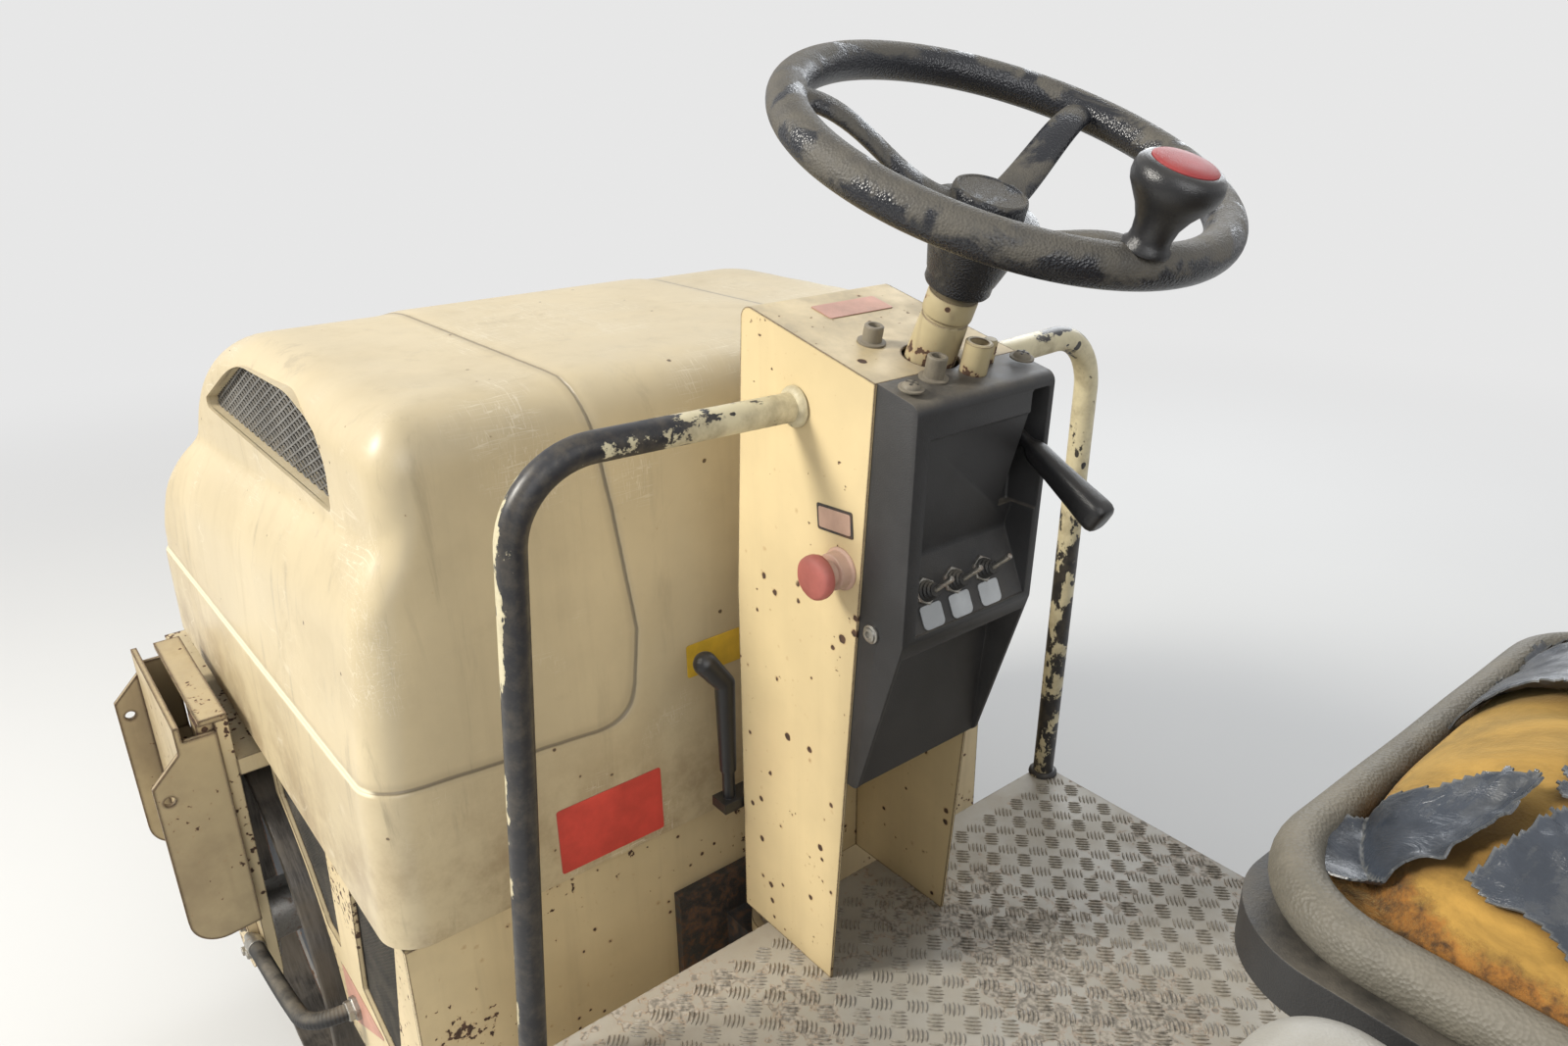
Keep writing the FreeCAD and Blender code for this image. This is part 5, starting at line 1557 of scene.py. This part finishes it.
piece("side_stripe", "front_unit", side_stripe(), label_pink, smooth=30)
piece("rear_plate_red", "hood_lid", rear_plate(0.127, 0.256, 0.679, 0.760), label_red,
      smooth=30)
piece("rear_plate_yellow", "hood_lid", rear_plate(0.008, 0.084, 0.857, 0.897), label_yellow,
      smooth=30)


# Seat

seat_foam = velvet_foam("seat foam", (0.37, 0.215, 0.046))
seat_skin = torn_vinyl("torn seat vinyl", (0.026, 0.031, 0.040))
bolster_skin = plastic("seat bolster", (0.115, 0.105, 0.082), rough=0.55, grain=520.0, dust=0.35, wear=0.25,
                       worn=(0.20, 0.185, 0.145), depth=0.0009)

seat_low, seat_high = (np.array(corner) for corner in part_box("seat_cushion"))
seat_middle = (seat_low + seat_high) / 2
seat_floor = seat_low[2]


def seat_ring(inset, count=180):
    """Plan outline of the cushion with round corners, drawn in from its box by the inset."""
    x0, y0 = seat_low[:2] + inset
    x1, y1 = seat_high[:2] - inset
    front, back = 0.070 - inset * 0.5, 0.060 - inset * 0.5
    corners = rounded_outline([(x0, y0, back), (x1, y0, front), (x1, y1, front), (x0, y1, back)], 16)
    loop = np.concatenate([corners, corners[:1]])
    along = np.concatenate([[0.0], np.cumsum(np.linalg.norm(np.diff(loop, axis=0), axis=1))])
    at = np.linspace(0, along[-1], count, endpoint=False)
    return np.stack([np.interp(at, along, loop[:, 0]), np.interp(at, along, loop[:, 1])], axis=1)


def bolster_shape():
    """Roll of vinyl round the foot of the cushion: an oval carried along the outline.

    The oval leans out a little and swells and sinks by a few waves, as a stuffed roll does.
    """
    ring = seat_ring(0.0135)
    ahead_way = np.roll(ring, -1, axis=0) - np.roll(ring, 1, axis=0)
    ahead_way /= np.linalg.norm(ahead_way, axis=1)[:, None]
    out = np.stack([ahead_way[:, 1], -ahead_way[:, 0]], axis=1)
    b = np.linspace(0, 2 * math.pi, 32, endpoint=False)
    t = np.linspace(0, 2 * math.pi, len(ring), endpoint=False)
    swell = 1 - 0.035 * (0.5 + 0.5 * np.sin(t * 5 + 1.0)) - 0.02 * (0.5 + 0.5 * np.sin(t * 13))
    wide = 0.0130 * swell[:, None] * np.cos(b)
    high = 0.0150 * swell[:, None] * np.sin(b)
    points = np.zeros((len(ring), len(b), 3))
    points[..., 0] = ring[:, :1] + out[:, :1] * wide
    points[..., 1] = ring[:, 1:] + out[:, 1:] * wide
    points[..., 2] = seat_floor + 0.0190 + high - wide * 0.12
    return grid(points, wrap_rows=True, wrap_cols=True, flip=True)


def sway(x, y, phase=0.0):
    """Smooth wandering value near -1 to 1, a sum of a few waves at odd angles."""
    return (np.sin(x * 23 + y * 11 + phase) + np.sin(x * 41 - y * 37 + 2 * phase + 1.7)
            + 0.6 * np.sin(x * 83 + y * 71 + phase * 3) + 0.4 * np.sin(y * 151 - x * 67 + phase)) / 3.0


def foam_height(x, y):
    """Top of the foam: a dome on a rounded rectangle, with broad lumps, sat low in the middle."""
    u = (x - seat_middle[0]) / (seat_high[0] - seat_low[0] - 0.045) * 2
    v = (y - seat_middle[1]) / (seat_high[1] - seat_low[1] - 0.045) * 2
    s = np.clip((np.abs(u) ** 3.4 + np.abs(v) ** 3.4) ** (1 / 3.4), 0, 1)
    dome = (1 - s ** 3.6) ** 0.62
    sat = -0.006 * np.exp(-((u + 0.1) ** 2 + v ** 2) * 2.2)
    return seat_floor + 0.020 + 0.062 * dome + sat + 0.0035 * sway(x, y) * dome


def foam_shape():
    """Foam block: rings of the plan outline from its foot up and in over the dome."""
    outer = seat_ring(0.0235)
    centre = seat_middle[:2]
    shares = np.concatenate([np.sin(np.linspace(math.pi / 2, 0.12, 46)), [0.06, 0.02]])
    rings = [np.column_stack([outer, np.full(len(outer), seat_floor + 0.002)])]
    for share in shares:
        ring = centre + (outer - centre) * share
        rings.append(np.column_stack([ring, foam_height(ring[:, 0], ring[:, 1])]))
    return grid(np.array(rings), wrap_cols=True, cap_first=True, cap_last=True)


# Middles of the vinyl's flakes on the seat: x and y from the seat's middle, lift at the edge, and tilt
flakes = [(0.118, 0.150, 0.021, 0.30), (0.132, 0.066, 0.016, -0.20), (0.118, -0.045, 0.016, 0.25),
          (0.130, -0.145, 0.018, 0.1), (0.045, 0.165, 0.012, -0.25), (0.030, 0.085, 0.008, 0.20),
          (0.045, 0.000, 0.012, -0.15), (0.035, -0.090, 0.009, 0.2), (0.040, -0.170, 0.012, -0.3),
          (-0.040, 0.150, 0.009, 0.2), (-0.050, 0.060, 0.011, -0.2), (-0.035, -0.040, 0.008, 0.1),
          (-0.050, -0.135, 0.010, 0.3), (-0.120, 0.140, 0.010, -0.1), (-0.125, 0.040, 0.008, 0.2),
          (-0.120, -0.070, 0.010, -0.2), (-0.125, -0.165, 0.010, 0.2), ]
gone_flakes = (1, 7, 12)


def large_islands(faces, least):
    """Faces that hang together, by shared corners, in groups of at least the given number of faces."""
    label = np.arange(faces.max() + 1)
    while True:
        lowest = label[faces].min(axis=1)
        fresh = label.copy()
        np.minimum.at(fresh, faces.reshape(-1), np.repeat(lowest, faces.shape[1]))
        if (fresh == label).all():
            break
        label = fresh
    group = label[faces[:, 0]]
    return faces[np.bincount(group)[group] >= least]


def without_corner_contacts(there):
    """Drops faces of a grid that touch a neighbour at one corner only, until none is left."""
    while True:
        a, b, c, d = there[:-1, :-1], there[:-1, 1:], there[1:, :-1], there[1:, 1:]
        falling = a & d & ~b & ~c
        rising = b & c & ~a & ~d
        if not (falling.any() or rising.any()):
            return there
        there = there.copy()
        there[:-1, :-1][falling] = False
        there[:-1, 1:][rising] = False


def flake_skin():
    """Torn vinyl on the foam, in flakes.

    Each point of a fine grid belongs to the nearest flake middle, after its place is swayed;
    near the border to the next flake the skin rises and curls back, past it the skin is gone.
    """
    rows, cols = 176, 220
    x, y = np.meshgrid(np.linspace(-0.156, 0.172, rows) + seat_middle[0], np.linspace(-0.198, 0.198, cols),
                       indexing="ij")
    sx = x - seat_middle[0] + 0.011 * sway(x, y, 0.7) + 0.003 * sway(x * 3.1, y * 3.1, 2.0)
    sy = y + 0.012 * sway(y, x, 2.3) + 0.003 * sway(y * 3.3, x * 3.3, 0.4)
    middles = np.array(flakes)
    away = np.hypot(sx[..., None] - middles[:, 0], sy[..., None] - middles[:, 1])
    order = np.argsort(away, axis=-1)
    own = order[..., 0]
    near = np.take_along_axis(away, order[..., :1], -1)[..., 0]
    far = np.take_along_axis(away, order[..., 1:2], -1)[..., 0]
    crack = (far - near) / 2
    edge_of_seat = np.minimum.reduce([
        0.154 + (x - seat_middle[0]), 0.160 - (x - seat_middle[0]) + 0.006 * sway(x, y * 2.1, 1.2),
        0.178 + 0.014 * sway(x * 1.6, y, 3.1) - np.abs(y)])
    rim = np.minimum(crack - 0.0035 + 0.0025 * sway(x * 6, y * 6, 4.0), edge_of_seat)
    curl = np.exp(-np.clip(rim, 0, 1) / 0.012)
    lift = middles[own, 2]
    tilt = middles[own, 3]
    raised = lift * curl * (0.55 + 0.45 * sway(x, y, 5.0))
    tipped = 0.03 * tilt * (sx - middles[own, 0]) * (1 - curl)
    off = 0.0018 + raised + tipped
    wrinkle = 0.0009 * sway(x * 2.2, y * 2.2, 1.0) + 0.0006 * sway(x * 6.1, y * 5.3, 3.0)
    z = foam_height(x, y) + np.maximum(off, 0.0014) + wrinkle
    z = np.minimum(z, seat_high[2] + 0.006)
    points = np.stack([x, y, z], axis=-1)
    keep = (rim > 0.0003) & ~np.isin(own, gone_flakes)
    faces = grid_faces(rows, cols)
    owner = own.reshape(-1)[faces]
    whole = keep.reshape(-1)[faces].all(axis=1) & (owner.max(axis=1) == owner.min(axis=1))
    whole = without_corner_contacts(whole.reshape(rows - 1, cols - 1)).reshape(-1)
    faces = large_islands(faces[whole], 300)
    used, index = np.unique(faces, return_inverse=True)
    return points.reshape(-1, 3)[used], index.reshape(-1, 4)[:, ::-1].tolist()


def inflate(obj, voxel, pressure, cap):
    """Fills a closed form like a stuffed cover: cloth under inner pressure, each point's way capped."""
    add_modifier(obj, "REMESH", mode="VOXEL", voxel_size=voxel)
    start = np.empty(len(obj.data.vertices) * 3)
    obj.data.vertices.foreach_get("co", start)
    cloth = obj.modifiers.new("cloth", "CLOTH")
    cloth.settings.use_pressure = True
    cloth.settings.uniform_pressure_force = pressure
    cloth.settings.effector_weights.gravity = 0.0
    scene = bpy.context.scene
    for moment in range(1, 15):
        scene.frame_set(moment)
    moved = bpy.data.meshes.new_from_object(obj.evaluated_get(bpy.context.evaluated_depsgraph_get()))
    ends = np.empty_like(start)
    moved.vertices.foreach_get("co", ends)
    bpy.data.meshes.remove(moved)
    scene.frame_set(1)
    obj.modifiers.remove(cloth)
    way = (ends - start).reshape(-1, 3)
    length = np.linalg.norm(way, axis=1)[:, None]
    way *= np.minimum(1.0, cap / np.maximum(length, 1e-9))
    obj.data.vertices.foreach_set("co", (start.reshape(-1, 3) + way).reshape(-1))
    obj.data.update()
    add_modifier(obj, "SUBSURF", levels=1, render_levels=1)


def backrest_shape(shrink=0.010):
    """Backrest: a padded slab between its foot and its top roll, narrowed between its corners.

    Section by section up its height the slab follows the CAD solid's front and back lines,
    each section a flat oval; its sides pull in half way up.
    """
    low, high = (np.array(corner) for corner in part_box("seat_backrest"))
    t = np.linspace(0, 1, 60)
    z = low[2] + shrink + (high[2] - low[2] - 2 * shrink) * t
    front_line = np.interp(z, [1.078, 1.200, 1.445], [-0.990, -0.990, -1.026])
    back_line = np.interp(z, [1.078, 1.380, 1.445], [-1.028, -1.080, -1.080])
    middle = (front_line + back_line) / 2
    thick = (front_line - back_line) / 2 - shrink * 0.6
    end = np.sqrt(np.clip(1 - (np.abs(2 * t - 1)) ** 9, 0.02, 1))
    wide = (0.205 - shrink - 0.007 * np.sin(t * math.pi)) * (0.80 + 0.20 * end)
    a = np.linspace(0, 2 * math.pi, 96, endpoint=False)
    box_x = np.sign(np.cos(a)) * np.abs(np.cos(a)) ** 0.45
    box_y = np.sign(np.sin(a)) * np.abs(np.sin(a)) ** 0.30
    points = np.stack([
        middle[:, None] + (thick * end)[:, None] * box_x[None, :], wide[:, None] * box_y[None, :],
        np.broadcast_to(z[:, None], (60, 96))], axis=-1)
    return grid(points, wrap_cols=True, cap_first=True, cap_last=True)


foam = piece("seat_foam", "rear_unit", foam_shape(), seat_foam, ["seat_cushion"], smooth=60)
bolster = piece("seat_bolster", "rear_unit", bolster_shape(), bolster_skin, smooth=80)
skin = piece("seat_torn_skin", "rear_unit", flake_skin(), seat_skin, smooth=80)
add_modifier(skin, "SOLIDIFY", thickness=0.0011, offset=1.0)
finish(skin, 60)
back = piece("backrest_pad", "rear_unit", backrest_shape(), bolster_skin, ["seat_backrest"],
             smooth=80)
inflate(back, 0.006, 4.0, 0.010)
back.data.shade_smooth()

# Bolts on the outer boxes, arms and drums' hubs

bolts = []
for x in (0.625, 0.720, 0.815):
    bolts.append(bolt((x, 0.529, 0.430), left, 0.019))
hub_bolts = []
for k in range(6):
    a = math.radians(30 + 60 * k)
    hub_bolts.append(bolt((axle_x + 0.052 * math.cos(a), 0.494, drum_r + 0.052 * math.sin(a)), left, 0.013,
                          0.006))
front_fasteners = joined(*bolts, *hub_bolts)
piece("front_fasteners", "front_unit", joined(front_fasteners, mirror_y(front_fasteners)), zinc,
      smooth=30)
rear_hub = joined(*hub_bolts)
rear_hub = (rear_hub[0] - np.array([2 * axle_x, 0.0, 0.0]), rear_hub[1])
piece("rear_fasteners", "rear_unit", joined(rear_hub, mirror_y(rear_hub)), zinc, smooth=30)


# Floor, backdrop, light and camera

def stage_material():
    """Pale matt floor that fades into the pale world far from the part, as the camera sees it."""
    made, shader, coords = new_material("studio floor", roughness=0.9)
    tone = noise(coords["Object"], 0.8, 3.0)
    shader["Base Color"] = mixed(tone, (0.6, 0.6, 0.59), (0.64, 0.64, 0.63))
    away = Node("VectorMath", {0: coords["Object"]}, operation="LENGTH")["Value"]
    fade = step(away, 1.6, 6.0) * Node("LightPath")["Is Camera Ray"]
    pale = Node("Emission", {"Color": (0.8, 0.8, 0.8), "Strength": 1.0})
    both = Node("MixShader", {0: fade, 1: shader[0], 2: pale[0]})
    end = next(made_node for made_node in graph.nodes if made_node.type == "OUTPUT_MATERIAL")
    graph.links.new(both[0].socket, end.inputs[0])
    return made


floor_mesh = bpy.data.meshes.new("studio_floor")
floor_mesh.from_pydata([(-40, -40, 0), (40, -40, 0), (40, 40, 0), (-40, 40, 0)], [], [(0, 1, 2, 3)])
floor = bpy.data.objects.new("studio_floor", floor_mesh)
bpy.context.scene.collection.objects.link(floor)
floor_mesh.materials.append(stage_material())

world = bpy.data.worlds.new("studio")
bpy.context.scene.world = world
world.use_nodes = True
begin_graph(world.node_tree)
sky = Node("Background", {"Color": (0.86, 0.87, 0.90), "Strength": 0.55})
seen = Node("Background", {"Color": (0.80, 0.80, 0.80), "Strength": 1.0})
paths = Node("LightPath")
view_share = larger(paths["Is Camera Ray"], paths["Is Glossy Ray"])
Node("OutputWorld", {"Surface": Node("MixShader", {0: view_share, 1: sky[0], 2: seen[0]})[0]})


def lamp(name, place, aim, size, power, colour=(1.0, 1.0, 1.0)):
    """Square area light at a place, turned to its aim."""
    data = bpy.data.lights.new(name, "AREA")
    data.size = size
    data.energy = power
    data.color = colour
    made = bpy.data.objects.new(name, data)
    turned = (Vector(aim) - Vector(place)).to_track_quat("-Z", "Y")
    made.matrix_world = Matrix.Translation(place) @ turned.to_matrix().to_4x4()
    bpy.context.scene.collection.objects.link(made)


lamp("key", (1.6, 3.9, 3.9), (0.0, 0.0, 0.9), 1.3, 300.0, (1.0, 0.96, 0.88))
lamp("fill", (2.0, -4.2, 3.2), (0.0, 0.0, 0.7), 3.0, 110.0, (0.92, 0.96, 1.0))
lamp("rear", (-4.0, 1.4, 3.0), (0.0, 0.0, 0.8), 3.0, 95.0)

# The photograph's camera: place, heading to the right of forward, pitch down and roll
camera_place = Vector((-0.840, 0.654, 1.472))
heading, pitch, roll = math.radians(38.2), math.radians(22.1), math.radians(0.92)
look = Vector((math.cos(pitch) * math.cos(heading), -math.cos(pitch) * math.sin(heading), -math.sin(pitch)))
right = Vector((-math.sin(heading), -math.cos(heading), 0.0))
down = look.cross(right)
right, down = right * math.cos(roll) + down * math.sin(roll), down * math.cos(roll) - right * math.sin(roll)
turn = Matrix((right, -down, -look)).transposed()
camera_data = bpy.data.cameras.new("camera")
photo_width, photo_focal = 1600.0, 1118.0
camera_data.sensor_width = 36.0
camera_data.lens = camera_data.sensor_width * photo_focal / photo_width
camera_data.clip_start = 0.02
camera = bpy.data.objects.new("camera", camera_data)
camera.matrix_world = Matrix.Translation(camera_place) @ turn.to_4x4()
bpy.context.scene.collection.objects.link(camera)
bpy.context.scene.camera = camera

bpy.context.scene.view_settings.view_transform = "Standard"
